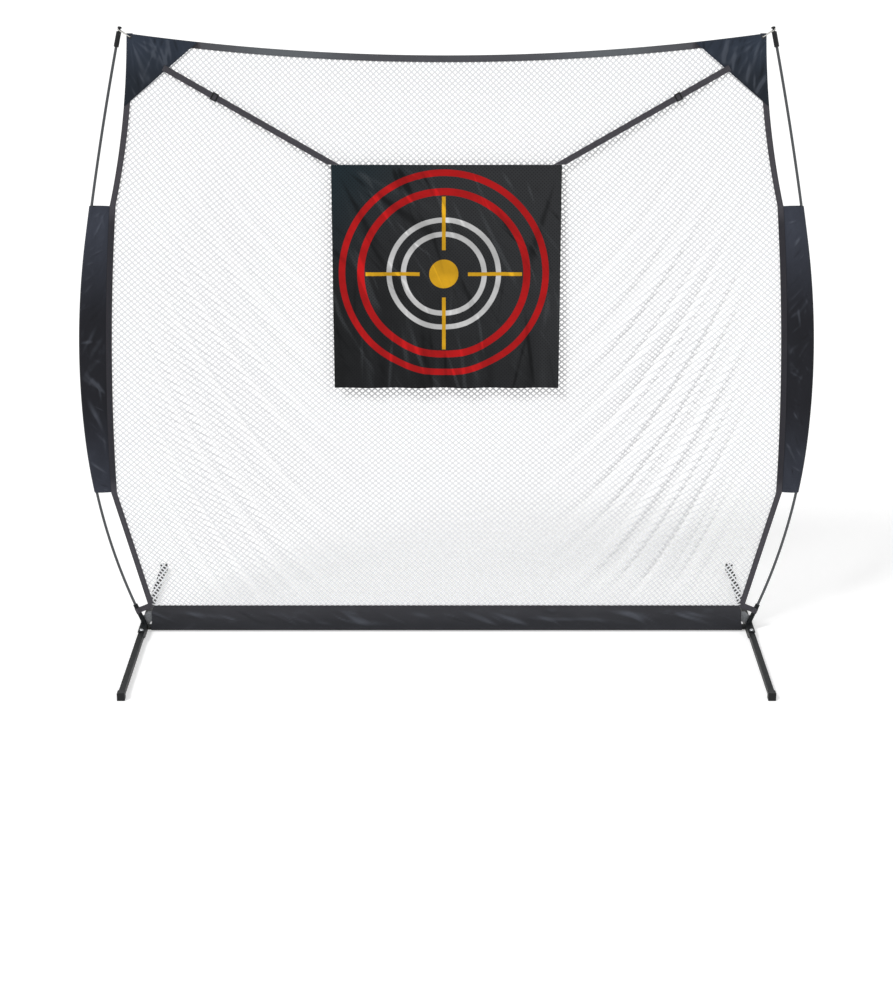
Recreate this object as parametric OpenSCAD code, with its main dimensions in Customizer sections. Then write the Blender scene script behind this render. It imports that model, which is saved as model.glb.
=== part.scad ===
// Free-standing practice net for golf shots. Millimetres, Z up, the floor at z = 0.
// X runs across the net, and the player stands on the -Y side. The left half mirrors the right.

/* [Base] */
// Distance between the leg bolts of the two hubs
frame_w = 2144; // [2000:1:2300]
// Length of a leg from its bolt to its tip
leg_reach = 540; // [400:1:620]
// Side of the square leg tube
leg_size = 20; // [18:0.5:24]
// Wall of the leg tube
leg_wall = 1.5; // [1:0.1:2.5]
// Distance of each leg bolt from the net's plane
bolt_y = 60; // [50:1:75]
// Diameter of a leg bolt
bolt_d = 8; // [6:0.5:10]
// Thickness of a hub's steel plate
hub_t = 2; // [1.5:0.1:3]
// Length of a hub's top plate
hub_len = 160; // [150:1:200]
// Diameter of the crossbar
crossbar_d = 20; // [18:0.5:22]
// Wall of the crossbar
crossbar_wall = 1.2; // [1:0.1:1.6]
// Length of a spigot inside two crossbar tubes
spigot_len = 120; // [100:1:200]
// Diameter of a snap button
button_d = 6.4; // [5:0.1:7]
// How far a snap button is pressed
button_travel = 3; // [2:0.1:3.4]
// Thickness of a foot cap's sole
sole_t = 6; // [5:0.1:9]
// Wall of a foot cap
foot_wall = 3; // [2:0.1:4]
// Length of a foot cap
foot_len = 26; // [20:1:40]

/* [Poles] */
// Length of one pole section
pole_len = 700; // [650:1:740]
// Diameter of the poles
pole_d = 9.5; // [8:0.1:11]
// Bore of the poles
pole_bore = 4.6; // [4:0.1:5]
// Outward lean of the poles in their sockets, in degrees
pole_lean = 23.3; // [21:0.1:25]
// Bend of the lowest sections, in degrees
lower_bend = 19.4; // [18:0.1:21]
// Bend of the middle sections, in degrees
middle_bend = 13.6; // [12:0.1:15]
// Bend of the highest sections, in degrees
upper_bend = 3.4; // [2:0.1:5]
// Length of a pole socket
socket_len = 74; // [60:1:90]
// Wall of a pole socket
socket_wall = 2.8; // [2:0.1:3.5]
// Length of a ferrule
ferrule_len = 60; // [40:1:80]
// Wall of a ferrule
ferrule_wall = 1; // [0.8:0.1:1.4]
// Diameter of the elastic cord in the poles
shock_cord_d = 3.2; // [3:0.1:3.4]
// Length of the cap on a pole's tip, below the neck
cap_len = 46; // [40:1:80]

/* [Net] */
// Width of the edge webbing
webbing_w = 20; // [15:1:25]
// Sag of the top edge
top_sag = 71; // [40:1:90]
// Width of the band along the top edge
top_band_w = 22; // [16:1:30]
// Height of the sleeve over the crossbar
bottom_sleeve_h = 94; // [80:1:120]
// Length of a side sleeve along its pole
side_sleeve_len = 1010; // [900:1:1060]
// Start of a side sleeve along its pole
side_sleeve_from = 510; // [480:1:560]
// Gap from a pole to the webbing at the side sleeve's top
sleeve_top_gap = 60; // [50:1:75]
// Gap from a pole to the webbing at the side sleeve's bottom
sleeve_bottom_gap = 50; // [40:1:65]
// Length of a corner patch along the top edge
patch_w = 230; // [180:1:260]
// Height of a corner patch
patch_h = 238; // [180:1:260]
// Meshes across the coarse net
mesh_columns = 12; // [8:1:12]
// Meshes up the coarse net
mesh_rows = 11; // [8:1:11]
// Width of a strand of the coarse net
strand_w = 5; // [4:0.5:8]
// Diameter of the cord loops at the top corners
loop_cord_d = 3; // [2.5:0.1:3.2]

/* [Target] */
// Width of the target cloth
target_w = 762; // [640:1:860]
// Height of the target cloth
target_h = 762; // [640:1:860]
// Height of the target's top edge above the floor
target_top = 1664; // [1550:1:1720]
// Depth of the folds at the target's bottom edge
fold_depth = 6; // [2:0.5:8]
// Width of a target strap
strap_w = 20; // [15:1:25]
// Distance of a slider from the root of its strap
slider_at = 177; // [150:1:260]

/* [Hidden] */

$fn = 48;

// Colours
steel_black = [0.19, 0.20, 0.21];
steel_bright = [0.78, 0.79, 0.80];
plastic_black = [0.08, 0.08, 0.09];
nylon_white = [0.86, 0.86, 0.84];
fibre_black = [0.15, 0.16, 0.17];
cloth_black = [0.17, 0.17, 0.20];
web_black = [0.26, 0.25, 0.27];
net_white = [0.92, 0.92, 0.93];

// Clearances: around a turning or sliding piece, and around a piece that is only pushed in
run_gap = 0.3;
seat_gap = 0.1;
fit_gap = 0.2;

// Base: the leg's faces set the heights of the hub's plates
hub_x = frame_w / 2;
washer_t = 0.8;
leg_z = sole_t;
leg_top = leg_z + leg_size;
plate_gap = washer_t + 2 * seat_gap;
bottom_plate_z = leg_z - plate_gap - hub_t;
top_plate_z = leg_top + plate_gap;
hub_top = top_plate_z + hub_t;
web_x = hub_x - leg_size / 2 - 2 * run_gap;
plate_overhang = 2;
plate_out = hub_x + leg_size / 2 + plate_overhang;
plate_beyond_bolt = 12;
plate_end = bolt_y + plate_beyond_bolt;
web_overreach = 38;
head_overhang = 3.5;
head_d = bolt_d + 2 * head_overhang;
head_h = 4.5;
nut_t = 2;
nut_edge = 1;
foot_size = leg_size + 2 * foot_wall;
foot_top = leg_top + 2;
foot_round = 2;
leg_tip = leg_reach - foot_wall;

// Crossbar: three tubes between the hubs' webs, joined by spigots
crossbar_z = (leg_z + leg_top) / 2;
crossbar_reach = web_x - hub_t - 1;
tube_len = 2 * crossbar_reach / 3;
spigot_d = crossbar_d - 2 * crossbar_wall - 2 * fit_gap;
spigot_bore = spigot_d - 2 * crossbar_wall;
joint_x = tube_len / 2;
joint_gap = 0.4;
stub_len = 60;
button_from_joint = 30;
button_stands = 3.4;
button_top = crossbar_d / 2 + button_stands;
flange_d = button_d + 2;
flange_top = sqrt(pow(spigot_bore, 2) - pow(flange_d, 2)) / 2 - fit_gap;
flange_t = 1;
button_dome = 1.4;
leaf_t = 0.6;
leaf_back = 12;
leaf_front = 13;
leaf_round = 3;
leaf_grip = 6;
rivet_d = 4;
rivet_head_t = 2;
rivet_from_joint = 30;
spigot_rivet_places = [-joint_x + rivet_from_joint, joint_x - rivet_from_joint];
button_places = [-crossbar_reach + button_from_joint, -joint_x - button_from_joint,
                 joint_x + button_from_joint, crossbar_reach - button_from_joint];

// Poles: each section is an arc that goes on from the last one
socket_gap = 0.5;
socket_bore = pole_d + 2 * socket_gap;
socket_d = socket_bore + 2 * socket_wall;
socket_sink = 15;
pole_foot_in = 1;
pole_foot_up = 4;
pole_foot = [hub_x - pole_foot_in, hub_top + pole_foot_up];
bends = [lower_bend, middle_bend, upper_bend];
ferrule_bore = pole_d + 0.8;
ferrule_d = ferrule_bore + 2 * ferrule_wall;
function radius_of(i) = pole_len * 180 / (PI * bends[i]);
function start_lean(i) = i == 0 ? pole_lean : start_lean(i - 1) - bends[i - 1];
function outward(lean) = [cos(lean), -sin(lean)];
function along(lean) = [sin(lean), cos(lean)];
function section_start(i) = i == 0 ? pole_foot : arc_centre(i - 1) + radius_of(i - 1) * outward(start_lean(i));
function arc_centre(i) = section_start(i) - radius_of(i) * outward(start_lean(i));
function section_at(s) = max(0, min(2, floor(s / pole_len)));
function lean_at(s) =
    let (i = section_at(s))
    start_lean(i) - bends[i] * (s - i * pole_len) / pole_len;
function pole_point(s) =
    let (i = section_at(s))
    arc_centre(i) + radius_of(i) * outward(lean_at(s));
pole_total = 3 * pole_len;
tip = pole_point(pole_total);
tip_lean = lean_at(pole_total);
section_gap = 0.3;
pole_sides = 24;
arc_sides = 240;
// A socket's axis is the chord of the pole inside it
socket_lean = (lean_at(0) + lean_at(socket_len)) / 2;

// Gusset: an upright plate behind the socket, on a bent foot that two rivets hold to the hub
gusset_t = 3;
gusset_foot_t = 2;
gusset_overhang = 17;
gusset_in = web_x - hub_t - gusset_overhang;
gusset_rise = 41;
gusset_high = hub_top + gusset_rise;
gusset_slope_from = 14;
gusset_slope_to = 16;
gusset_y = socket_d / 2 + seat_gap;
rivet_from_plate = 8;
rivet_y = gusset_y + gusset_t + rivet_from_plate;
rivet_in = 4;
rivet_out = 6;
rivet_places = [hub_x - rivet_in, hub_x + rivet_out];
rivet_margin = 6;
gusset_foot_in = 10;
foot_from = hub_x - gusset_foot_in;

// Tip cap: a closed tube, a neck for the cord loop and a knob
cap_d = 16.5;
cap_top = 4;
neck_d = 8;
neck_len = 10;
knob_d = 15;
knob_h = 8;

// Layers of cloth in front of the net's plane, each at its distance from y = 0
net_t = 1.5;
layer_gap = 0.25;
cloth_t = 1.2;
webbing_t = 1.6;
sleeve_y = net_t / 2 + layer_gap;
webbing_y = sleeve_y + cloth_t + layer_gap;
patch_y = webbing_y + webbing_t + layer_gap;
strap_y = patch_y + cloth_t + layer_gap;
strap_t = 1.5;

// Net outline, right half: the top corner, the side sleeve's ends and the bottom corner
corner_from_tip = [-25.5, -1];
net_corner = tip + corner_from_tip;
sleeve_to = side_sleeve_from + side_sleeve_len;
edge_high = pole_point(sleeve_to) - [sleeve_top_gap, 0];
edge_low = pole_point(side_sleeve_from) - [sleeve_bottom_gap, 0];
bottom_sleeve_r = crossbar_d / 2 + 1;
bottom_sleeve_top = crossbar_z - bottom_sleeve_r - cloth_t + bottom_sleeve_h;
edge_foot_in = 18;
edge_foot_up = 8;
edge_foot = [hub_x - edge_foot_in, bottom_sleeve_top + edge_foot_up];
bottom_sleeve_in_low = 26;
bottom_sleeve_in_high = 40;
side_bow = 15;
edge_steps = 8;
function arc_points(from, to, bow) =
    let (chord = to - from)
    let (side = [-chord[1], chord[0]] / norm(chord))
    [for (k = [0:edge_steps]) let (t = k / edge_steps) from + t * chord + 4 * bow * t * (1 - t) * side];
function without_last(points) = [for (k = [0:len(points) - 2]) points[k]];
side_edge = concat(without_last(arc_points(net_corner, edge_high, -side_bow)),
                   arc_points(edge_high, edge_low, side_bow), [edge_foot]);
top_edge = arc_points([-net_corner[0], net_corner[1]], net_corner, -top_sag);
function shifted(points, by) = [for (p = points) p + by];
function reversed(points) = [for (k = [len(points) - 1:-1:0]) points[k]];

// Side sleeve: a cloth pocket folded round the pole
pocket_r = ferrule_d / 2 + 0.6;
sleeve_stations = 16;
fold_steps = 8;

// Top corner: an eyelet through all layers, and the cord loop from it to the tip's neck
eyelet_inset = 11;
eyelet = net_corner - [eyelet_inset, eyelet_inset];
eyelet_bore = 6;
eyelet_d = 8;
eyelet_rim = 13;
rim_t = 0.8;
eyelet_hole_depth = 28;
neck_mid = tip + (cap_top + neck_len / 2) * along(tip_lean);
loop_reach = norm(neck_mid - eyelet);
loop_r = neck_d / 2 + loop_cord_d / 2 + 1;
loop_turn = 3.5;

// Corner patch: the two ends of its long side
patch_across = (net_corner[0] - patch_w) / net_corner[0];
patch_top = net_corner - [patch_w, top_sag * (1 - patch_across * patch_across)];
patch_down = patch_h / (net_corner[1] - edge_high[1]);
patch_bow = 4 * side_bow * patch_down * (1 - patch_down);
patch_foot = net_corner + patch_down * (edge_high - net_corner) - [patch_bow, 0];

// Target: a hinge line just above its top edge, and straps from the corner patches
target_y = strap_y + strap_t / 2;
cloth_panel_t = 2;
hinge_gap = cloth_panel_t / 2 + run_gap;
strap_root_share = 0.42;
strap_root = patch_top + strap_root_share * (patch_foot - patch_top);
strap_tip_in = 8;
strap_tip = [target_w / 2 - strap_tip_in, target_top + hinge_gap];
strap_run = strap_tip - strap_root;
strap_len = norm(strap_run);
strap_angle = atan2(strap_run[1], strap_run[0]);
strap_tail = 12;
panel_columns = 26;
panel_rows = 20;
panel_slope = 9;

// Slider: end bars in front of the strap, a middle bar behind it
slider_len = 22;
slider_rail = 3;
slider_bar = 5;
slider_bar_t = 2;

// Corner tab: where it sits along the socket, and how far its end reaches behind the webbing
tab_at = 50;
tab_len = 55;

// Net: a lattice of diamonds drawn out to the edges, with a border strand all round. Knots
// stand where column + row is even.
columns = 2 * mesh_columns;
rows = 2 * mesh_rows;
net_tuck_low = 10;
net_tuck_high = 4;
net_low = bottom_sleeve_top - net_tuck_low;
net_high = net_corner[1] - top_band_w + net_tuck_high;
side_table = concat([[net_low, hub_x - bottom_sleeve_in_high]], [for (p = reversed(side_edge)) [p[1], p[0]]]);
mesh_slope = (net_high - net_low) / rows / (2 * edge_foot[0] / columns);
strand_tip = strand_w / 2 * [1 / sin(atan(mesh_slope)), 1 / cos(atan(mesh_slope))];

module at_pole(s) {
    p = pole_point(s);
    translate([p[0], 0, p[1]]) rotate([0, lean_at(s), 0]) children();
}

module upright(depth_from, depth) {
    // Stands a flat outline up in the XZ plane, from the given distance in front of y = 0
    translate([0, -depth_from, 0]) rotate([90, 0, 0]) linear_extrude(depth) children();
}

module pole_arc(i, bore) {
    c = arc_centre(i);
    from_gap = i == 0 ? 0 : section_gap / radius_of(i) * 180 / PI;
    translate([c[0], 0, c[1]]) rotate([90, 0, 0]) rotate([0, 0, from_gap - start_lean(i)])
        rotate_extrude(angle = bends[i] - from_gap, $fn = arc_sides) translate([radius_of(i), 0])
            difference() {
                circle(d = pole_d, $fn = pole_sides);
                circle(d = bore, $fn = pole_sides);
            }
}

module side(s) {
    // The right side as it is, or the left side as its mirror image
    if (s > 0) children();
    else mirror([1, 0, 0]) children();
}

module hub(s) {
    web_top = hub_len / 2 + web_overreach;
    color(steel_black) side(s) difference() {
        union() {
            translate([web_x - hub_t, 0, 0]) rotate([90, 0, 90]) linear_extrude(hub_t)
                polygon([[-plate_end, bottom_plate_z], [plate_end, bottom_plate_z],
                         [web_top, hub_top], [-web_top, hub_top]]);
            translate([web_x - hub_t, -hub_len / 2, top_plate_z])
                cube([plate_out - web_x + hub_t, hub_len, hub_t]);
            translate([web_x - hub_t, -plate_end, bottom_plate_z])
                cube([plate_out - web_x + hub_t, 2 * plate_end, hub_t]);
            translate([web_x - hub_t - stub_len, 0, crossbar_z]) rotate([0, 90, 0]) difference() {
                cylinder(d = spigot_d, h = stub_len + hub_t / 2);
                translate([0, 0, -1]) cylinder(d = spigot_bore, h = stub_len + hub_t);
            }
        }
        for (y = [-bolt_y, bolt_y])
            translate([hub_x, y, bottom_plate_z - 1]) cylinder(d = bolt_d + 2 * fit_gap, h = hub_top);
        for (x = rivet_places) translate([x, rivet_y, top_plate_z - 1])
            cylinder(d = rivet_d + 2 * seat_gap, h = hub_t + 2);
        translate([crossbar_reach - button_from_joint, 0, crossbar_z])
            cylinder(d = button_d + 2 * run_gap, h = crossbar_d);
    }
}

module gusset(s) {
    color(steel_bright) side(s) difference() {
        union() {
            upright(-gusset_y - gusset_t, gusset_t)
                polygon([[gusset_in, hub_top + pole_foot_up], [foot_from, hub_top], [plate_out, hub_top],
                         [plate_out, hub_top + gusset_slope_to], [gusset_in + gusset_slope_from, gusset_high],
                         [gusset_in, gusset_high]]);
            translate([foot_from, gusset_y, hub_top])
                cube([plate_out - foot_from, rivet_y + rivet_margin - gusset_y, gusset_foot_t]);
        }
        for (x = rivet_places) translate([x, rivet_y, hub_top - 1])
            cylinder(d = rivet_d + 2 * seat_gap, h = gusset_foot_t + 2);
    }
}

module gusset_rivets() {
    color(steel_bright) for (s = [-1, 1], x = rivet_places) side(s) translate([x, rivet_y, 0])
        rotate_extrude() polygon([
            [0, top_plate_z - rivet_head_t], [rivet_d * 0.75, top_plate_z - rivet_head_t],
            [rivet_d * 0.75, top_plate_z], [rivet_d / 2, top_plate_z], [rivet_d / 2, hub_top + gusset_foot_t],
            [rivet_d, hub_top + gusset_foot_t],
            [rivet_d * 0.7, hub_top + gusset_foot_t + rivet_head_t * 0.75],
            [0, hub_top + gusset_foot_t + rivet_head_t]]);
}

module pole_socket(s) {
    // A tube cut off on the hub's top plate, where it is welded
    color(steel_black) side(s) difference() {
        translate([pole_foot[0], 0, pole_foot[1]]) rotate([0, socket_lean, 0])
            translate([0, 0, -socket_sink]) difference() {
                cylinder(d = socket_d, h = socket_len + socket_sink);
                translate([0, 0, socket_sink - run_gap]) cylinder(d = socket_bore, h = socket_len + 2);
            }
        translate([pole_foot[0] - 2 * socket_d, -socket_d, hub_top - 2 * socket_d])
            cube([4 * socket_d, 2 * socket_d, 2 * socket_d]);
    }
}

module crossbar(s) {
    // The outer tubes reach from a hub to a joint, and the middle tube from joint to joint
    from = s == 0 ? -joint_x + joint_gap / 2 : joint_x + joint_gap / 2;
    to = s == 0 ? joint_x - joint_gap / 2 : crossbar_reach;
    color(steel_black) side(s) difference() {
        translate([from, 0, crossbar_z]) rotate([0, 90, 0]) difference() {
            cylinder(d = crossbar_d, h = to - from);
            translate([0, 0, -1]) cylinder(d = crossbar_d - 2 * crossbar_wall, h = to - from + 2);
        }
        for (x = button_places) translate([x, 0, crossbar_z])
            cylinder(d = button_d + 2 * run_gap, h = crossbar_d);
        for (x = spigot_rivet_places) translate([x, 0, crossbar_z - crossbar_d])
            cylinder(d = rivet_d + 2 * seat_gap, h = 2 * crossbar_d);
    }
}

module crossbar_spigot(s) {
    // A rivet fixes it in the middle tube, and a snap button holds the outer tube
    color(steel_bright) side(s) difference() {
        translate([joint_x - spigot_len / 2, 0, crossbar_z]) rotate([0, 90, 0]) difference() {
            cylinder(d = spigot_d, h = spigot_len);
            translate([0, 0, -1]) cylinder(d = spigot_bore, h = spigot_len + 2);
        }
        translate([joint_x + button_from_joint, 0, crossbar_z])
            cylinder(d = button_d + 2 * run_gap, h = crossbar_d);
        translate([joint_x - rivet_from_joint, 0, crossbar_z - crossbar_d])
            cylinder(d = rivet_d + 2 * seat_gap, h = 2 * crossbar_d);
    }
}

module spigot_rivets() {
    rim = crossbar_d / 2 + seat_gap;
    top = rim + 0.5;
    color(steel_bright) for (x = spigot_rivet_places) translate([x, 0, crossbar_z])
        rotate_extrude() polygon([
            [0, -top], [rivet_d * 0.7, -top], [rivet_d * 0.8, -rim], [rivet_d / 2, -rim],
            [rivet_d / 2, rim], [rivet_d * 0.8, rim], [rivet_d * 0.7, top], [0, top]]);
}

module snap_button(x) {
    color(steel_bright) translate([x, 0, crossbar_z]) rotate_extrude() polygon([
        [0, flange_top - flange_t], [flange_d / 2, flange_top - flange_t], [flange_d / 2, flange_top],
        [button_d / 2, flange_top], [button_d / 2, button_top - button_dome],
        [button_d / 2 - button_dome, button_top], [0, button_top]]);
}

module button_springs() {
    // A bent leaf under each button, drawn clear of the button at the bottom of its travel
    low = -spigot_bore / 2 + leaf_t;
    high = flange_top - flange_t - button_travel - run_gap;
    bend = leaf_front - leaf_round;
    color(steel_bright) for (x = button_places) translate([x, button_d / 4, crossbar_z]) rotate([90, 0, 0])
        linear_extrude(button_d / 2) polygon([
            [-leaf_back, low], [bend, low], [leaf_front, low + leaf_t], [leaf_front, high - leaf_t],
            [bend, high], [-leaf_grip, high], [-leaf_grip, high - leaf_t], [bend - leaf_t, high - leaf_t],
            [leaf_front - leaf_t, high - 2 * leaf_t], [leaf_front - leaf_t, low + 2 * leaf_t],
            [bend - leaf_t, low + leaf_t], [-leaf_back, low + leaf_t]]);
}

module leg_bolts() {
    color(steel_bright) for (s = [-1, 1], y = [-bolt_y, bolt_y]) side(s) translate([hub_x, y, 0])
        rotate_extrude() polygon([
            [0, bottom_plate_z - nut_t], [head_d / 2 - nut_edge, bottom_plate_z - nut_t],
            [head_d / 2, bottom_plate_z - nut_t + nut_edge],
            [head_d / 2, bottom_plate_z], [bolt_d / 2, bottom_plate_z], [bolt_d / 2, hub_top],
            for (a = [0:15:90]) [head_d / 2 * cos(a), hub_top + head_h * sin(a)]]);
}

module leg_washers() {
    color(nylon_white)
    for (s = [-1, 1], y = [-bolt_y, bolt_y], z = [leg_z - plate_gap + seat_gap, leg_top + seat_gap])
        side(s) translate([hub_x, y, z]) difference() {
            cylinder(d = leg_size - 2, h = washer_t);
            translate([0, 0, -1]) cylinder(d = bolt_d + 2 * fit_gap, h = washer_t + 2);
        }
}

module leg_place(s, r) {
    // Right front as drawn, other corners as its mirror images
    side(s) mirror([0, r > 0 ? 1 : 0, 0]) translate([hub_x, -bolt_y, 0]) children();
}

module leg(s, r) {
    inner = leg_size - 2 * leg_wall;
    color(steel_black) leg_place(s, r) translate([0, 0, leg_z]) difference() {
        linear_extrude(leg_size) {
            circle(d = leg_size);
            translate([-leg_size / 2, -leg_tip]) square([leg_size, leg_tip]);
        }
        translate([-inner / 2, -leg_tip - 1, leg_wall]) cube([inner, leg_tip + leg_size + 1, inner]);
        translate([0, 0, -1]) cylinder(d = bolt_d + 2 * run_gap, h = leg_size + 2);
    }
}

module rounded_box(size, r) {
    // A box along Y with four rounded long edges, centred on X
    translate([0, 0, size[2] / 2]) rotate([90, 0, 0]) linear_extrude(size[1]) {
        square([size[0] - 2 * r, size[2]], center = true);
        square([size[0], size[2] - 2 * r], center = true);
        for (x = [-1, 1], y = [-1, 1])
            translate([x * (size[0] / 2 - r), y * (size[2] / 2 - r)]) circle(r = r);
    }
}

module foot_cap(s, r) {
    cavity = leg_size + 2 * seat_gap;
    color(plastic_black) leg_place(s, r) difference() {
        translate([0, foot_len - leg_reach, 0]) rounded_box([foot_size, foot_len, foot_top], foot_round);
        translate([-cavity / 2, -leg_tip - seat_gap, leg_z - seat_gap]) cube([cavity, foot_len, cavity]);
    }
}

module pole_section(s, i) {
    color(fibre_black) side(s) pole_arc(i, pole_bore);
}

module pole_ferrules(s) {
    color(steel_bright) side(s) for (joint = [pole_len, 2 * pole_len])
        at_pole(joint) translate([0, 0, -ferrule_len / 2]) difference() {
            cylinder(d = ferrule_d, h = ferrule_len);
            translate([0, 0, -1]) cylinder(d = ferrule_bore, h = ferrule_len + 2);
        }
}

// A round tube through points, each ring square to the way between its neighbours.
// "across" is a direction that is never along the tube, and a closed tube joins its ends.
function ring_at(points, k, closed, across, r, sides) =
    let (n = len(points))
    let (before = points[closed ? (k + n - 1) % n : max(0, k - 1)])
    let (after = points[closed ? (k + 1) % n : min(n - 1, k + 1)])
    let (way = (after - before) / norm(after - before))
    let (flat = cross(across, way) / norm(cross(across, way)))
    [for (j = [0:sides - 1]) points[k] + r * cos(360 * j / sides) * flat + r * sin(360 * j / sides) * across];

module tube_through(points, d, sides, across, closed) {
    n = len(points);
    rings = [for (k = [0:n - 1]) each ring_at(points, k, closed, across, d / 2, sides)];
    last = closed ? n - 1 : n - 2;
    walls = [for (k = [0:last], j = [0:sides - 1])
        let (a = k * sides, b = (k + 1) % n * sides, q = (j + 1) % sides)
        each [[a + j, b + q, a + q], [a + j, b + j, b + q]]];
    ends = closed ? [] : [for (j = [1:sides - 2])
        each [[0, j, j + 1], [(n - 1) * sides, (n - 1) * sides + j + 1, (n - 1) * sides + j]]];
    polyhedron(rings, concat(walls, ends));
}

module shock_cord(s) {
    steps = 60;
    color(nylon_white) side(s) tube_through(
        [for (k = [0:steps]) let (p = pole_point(2 + (pole_total - 2) * k / steps)) [p[0], 0, p[1]]],
        shock_cord_d, 6, [0, 1, 0], false);
}

module tip_cap(s) {
    color(plastic_black) side(s) at_pole(pole_total) difference() {
        rotate_extrude() polygon([
            [0, -cap_len], [cap_d / 2, -cap_len], [cap_d / 2, cap_top - 1], [cap_d / 2 - 1, cap_top],
            [neck_d / 2, cap_top], [neck_d / 2, cap_top + neck_len],
            for (a = [-40:20:80]) [knob_d / 2 * cos(a), cap_top + neck_len + knob_h / 2 * (1 + sin(a)) - 1],
            [0, cap_top + neck_len + knob_h - 1]]);
        translate([0, 0, -cap_len - 1]) cylinder(d = pole_d + 2 * fit_gap, h = cap_len + 1 + seat_gap);
    }
}

module eyelet_hole() {
    translate([eyelet[0], eyelet_hole_depth / 2, eyelet[1]]) rotate([90, 0, 0])
        cylinder(d = eyelet_d + 2 * fit_gap, h = eyelet_hole_depth);
}

module corner_eyelet(s) {
    // A barrel between two flanges, clenched on the top band, the webbing and the patch
    back = sleeve_y - seat_gap;
    front = patch_y + cloth_t + seat_gap;
    color(steel_bright) side(s) translate([eyelet[0], 0, eyelet[1]]) rotate([90, 0, 0]) rotate_extrude()
        polygon([[eyelet_bore / 2, back - rim_t], [eyelet_rim / 2, back - rim_t], [eyelet_rim / 2, back],
                 [eyelet_d / 2, back], [eyelet_d / 2, front], [eyelet_rim / 2, front],
                 [eyelet_rim / 2, front + rim_t], [eyelet_bore / 2, front + rim_t]]);
}

module corner_cord(s) {
    // The loop lies in a plane along Y: through the eyelet, up both sides and round the neck
    lean = atan2(neck_mid[1] - eyelet[1], neck_mid[0] - eyelet[0]);
    front = patch_y + cloth_t + rim_t;
    back = 0;
    route = concat(
        [for (a = [-90:22.5:90]) [loop_reach + loop_r * cos(a), loop_r * sin(a)]],
        [for (a = [90:30:180]) [loop_turn + loop_turn * cos(a), back + loop_turn * sin(a)]],
        [for (a = [180:30:270]) [loop_turn + loop_turn * cos(a), -front + loop_turn * sin(a)]]);
    color(nylon_white) side(s) translate([eyelet[0], 0, eyelet[1]]) rotate([0, -lean, 0])
        tube_through([for (p = route) [p[0], p[1], 0]], loop_cord_d, 8, [0, 0, 1], true);
}

// Each knot of the net has a corner point on its top, right, bottom and left, which are the
// nearest corners of the meshes around it. An edge knot has its outer corner on the border line.
function knot(c, r) =
    let (u = 2 * c / columns - 1, v = r / rows)
    let (half = lookup(net_low + v * (net_high - net_low), side_table) - webbing_w / 2)
    [u * half, net_low + v * (net_high - top_sag * (1 - u * u) - net_low)];
function knot_corners(c, r) =
    let (at_side = c == 0 || c == columns, at_end = r == 0 || r == rows)
    let (in_x = c == 0 ? strand_w : c == columns ? -strand_w : 0)
    let (in_z = r == 0 ? strand_w : r == rows ? -strand_w : 0)
    let (reach_x = strand_tip[0] + (at_end ? strand_w / mesh_slope : 0))
    let (reach_z = strand_tip[1] + (at_side ? strand_w * mesh_slope : 0))
    [for (p = [[at_side ? in_x : 0, r == rows ? 0 : reach_z], [c == columns ? 0 : reach_x, at_end ? in_z : 0],
               [at_side ? in_x : 0, r == 0 ? 0 : -reach_z], [c == 0 ? 0 : -reach_x, at_end ? in_z : 0]])
        knot(c, r) + p];
function knot_number(c, r) = floor(r / 2) * (columns + 1) + (r % 2) * (columns / 2 + 1) + floor(c / 2);
knot_count = knot_number(columns, rows) + 1;

module net() {
    color(net_white) polyhedron(
        [for (y = [-net_t / 2, net_t / 2], r = [0:rows], c = [r % 2:2:columns], k = [0:3])
            let (p = outer_corner(c, r, k) ? knot(c, r) : knot_corners(c, r)[k]) [p[0], y, p[1]]],
        concat(knot_faces(), strand_faces(), border_faces()));
}

// Corner k of a knot: 0 top, 1 right, 2 bottom, 3 left. At the net's own corners two are one point
function outer_corner(c, r, k) = (k == 0 && r == rows) || (k == 1 && c == columns) || (k == 2 && r == 0)
    || (k == 3 && c == 0);
function corner(face, c, r, k) =
    let (own = outer_corner(c, r, k) && c == 0 ? 3 : outer_corner(c, r, k) && c == columns ? 1 : k)
    4 * (face * knot_count + knot_number(c, r)) + own;
// A flat four-sided piece of the net, front and back, and a wall between them
function panel(a, b, c, d) = [[a, b, c], [a, c, d]];
function flat_piece(q) = concat(
    panel(q[0], q[1], q[2], q[3]),
    let (back = 4 * knot_count) panel(q[3] + back, q[2] + back, q[1] + back, q[0] + back));
function wall(a, b) = let (back = 4 * knot_count) [[b, a, a + back], [b, a + back, b + back]];
function knot_faces() = [for (r = [0:rows], c = [r % 2:2:columns])
    let (first = c == 0 ? 3 : c == columns ? 1 : r == 0 ? 2 : 0)
    let (q = [for (k = [0:3]) corner(0, c, r, (first + k) % 4)])
    for (t = flat_piece(q)) if (t[0] != t[1] && t[1] != t[2] && t[2] != t[0]) t];
function strand_faces() = [for (r = [0:rows - 1], c = [r % 2:2:columns], way = [-1, 1])
    if (c + way >= 0 && c + way <= columns)
        let (near = way > 0 ? [0, 1] : [3, 0], far = way > 0 ? [2, 3] : [1, 2])
        let (q = [corner(0, c, r, near[0]), corner(0, c, r, near[1]),
                  corner(0, c + way, r + 1, far[0]), corner(0, c + way, r + 1, far[1])])
        each concat([for (t = flat_piece(q)) [t[0], t[2], t[1]]], wall(q[2], q[1]), wall(q[0], q[3]))];
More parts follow.
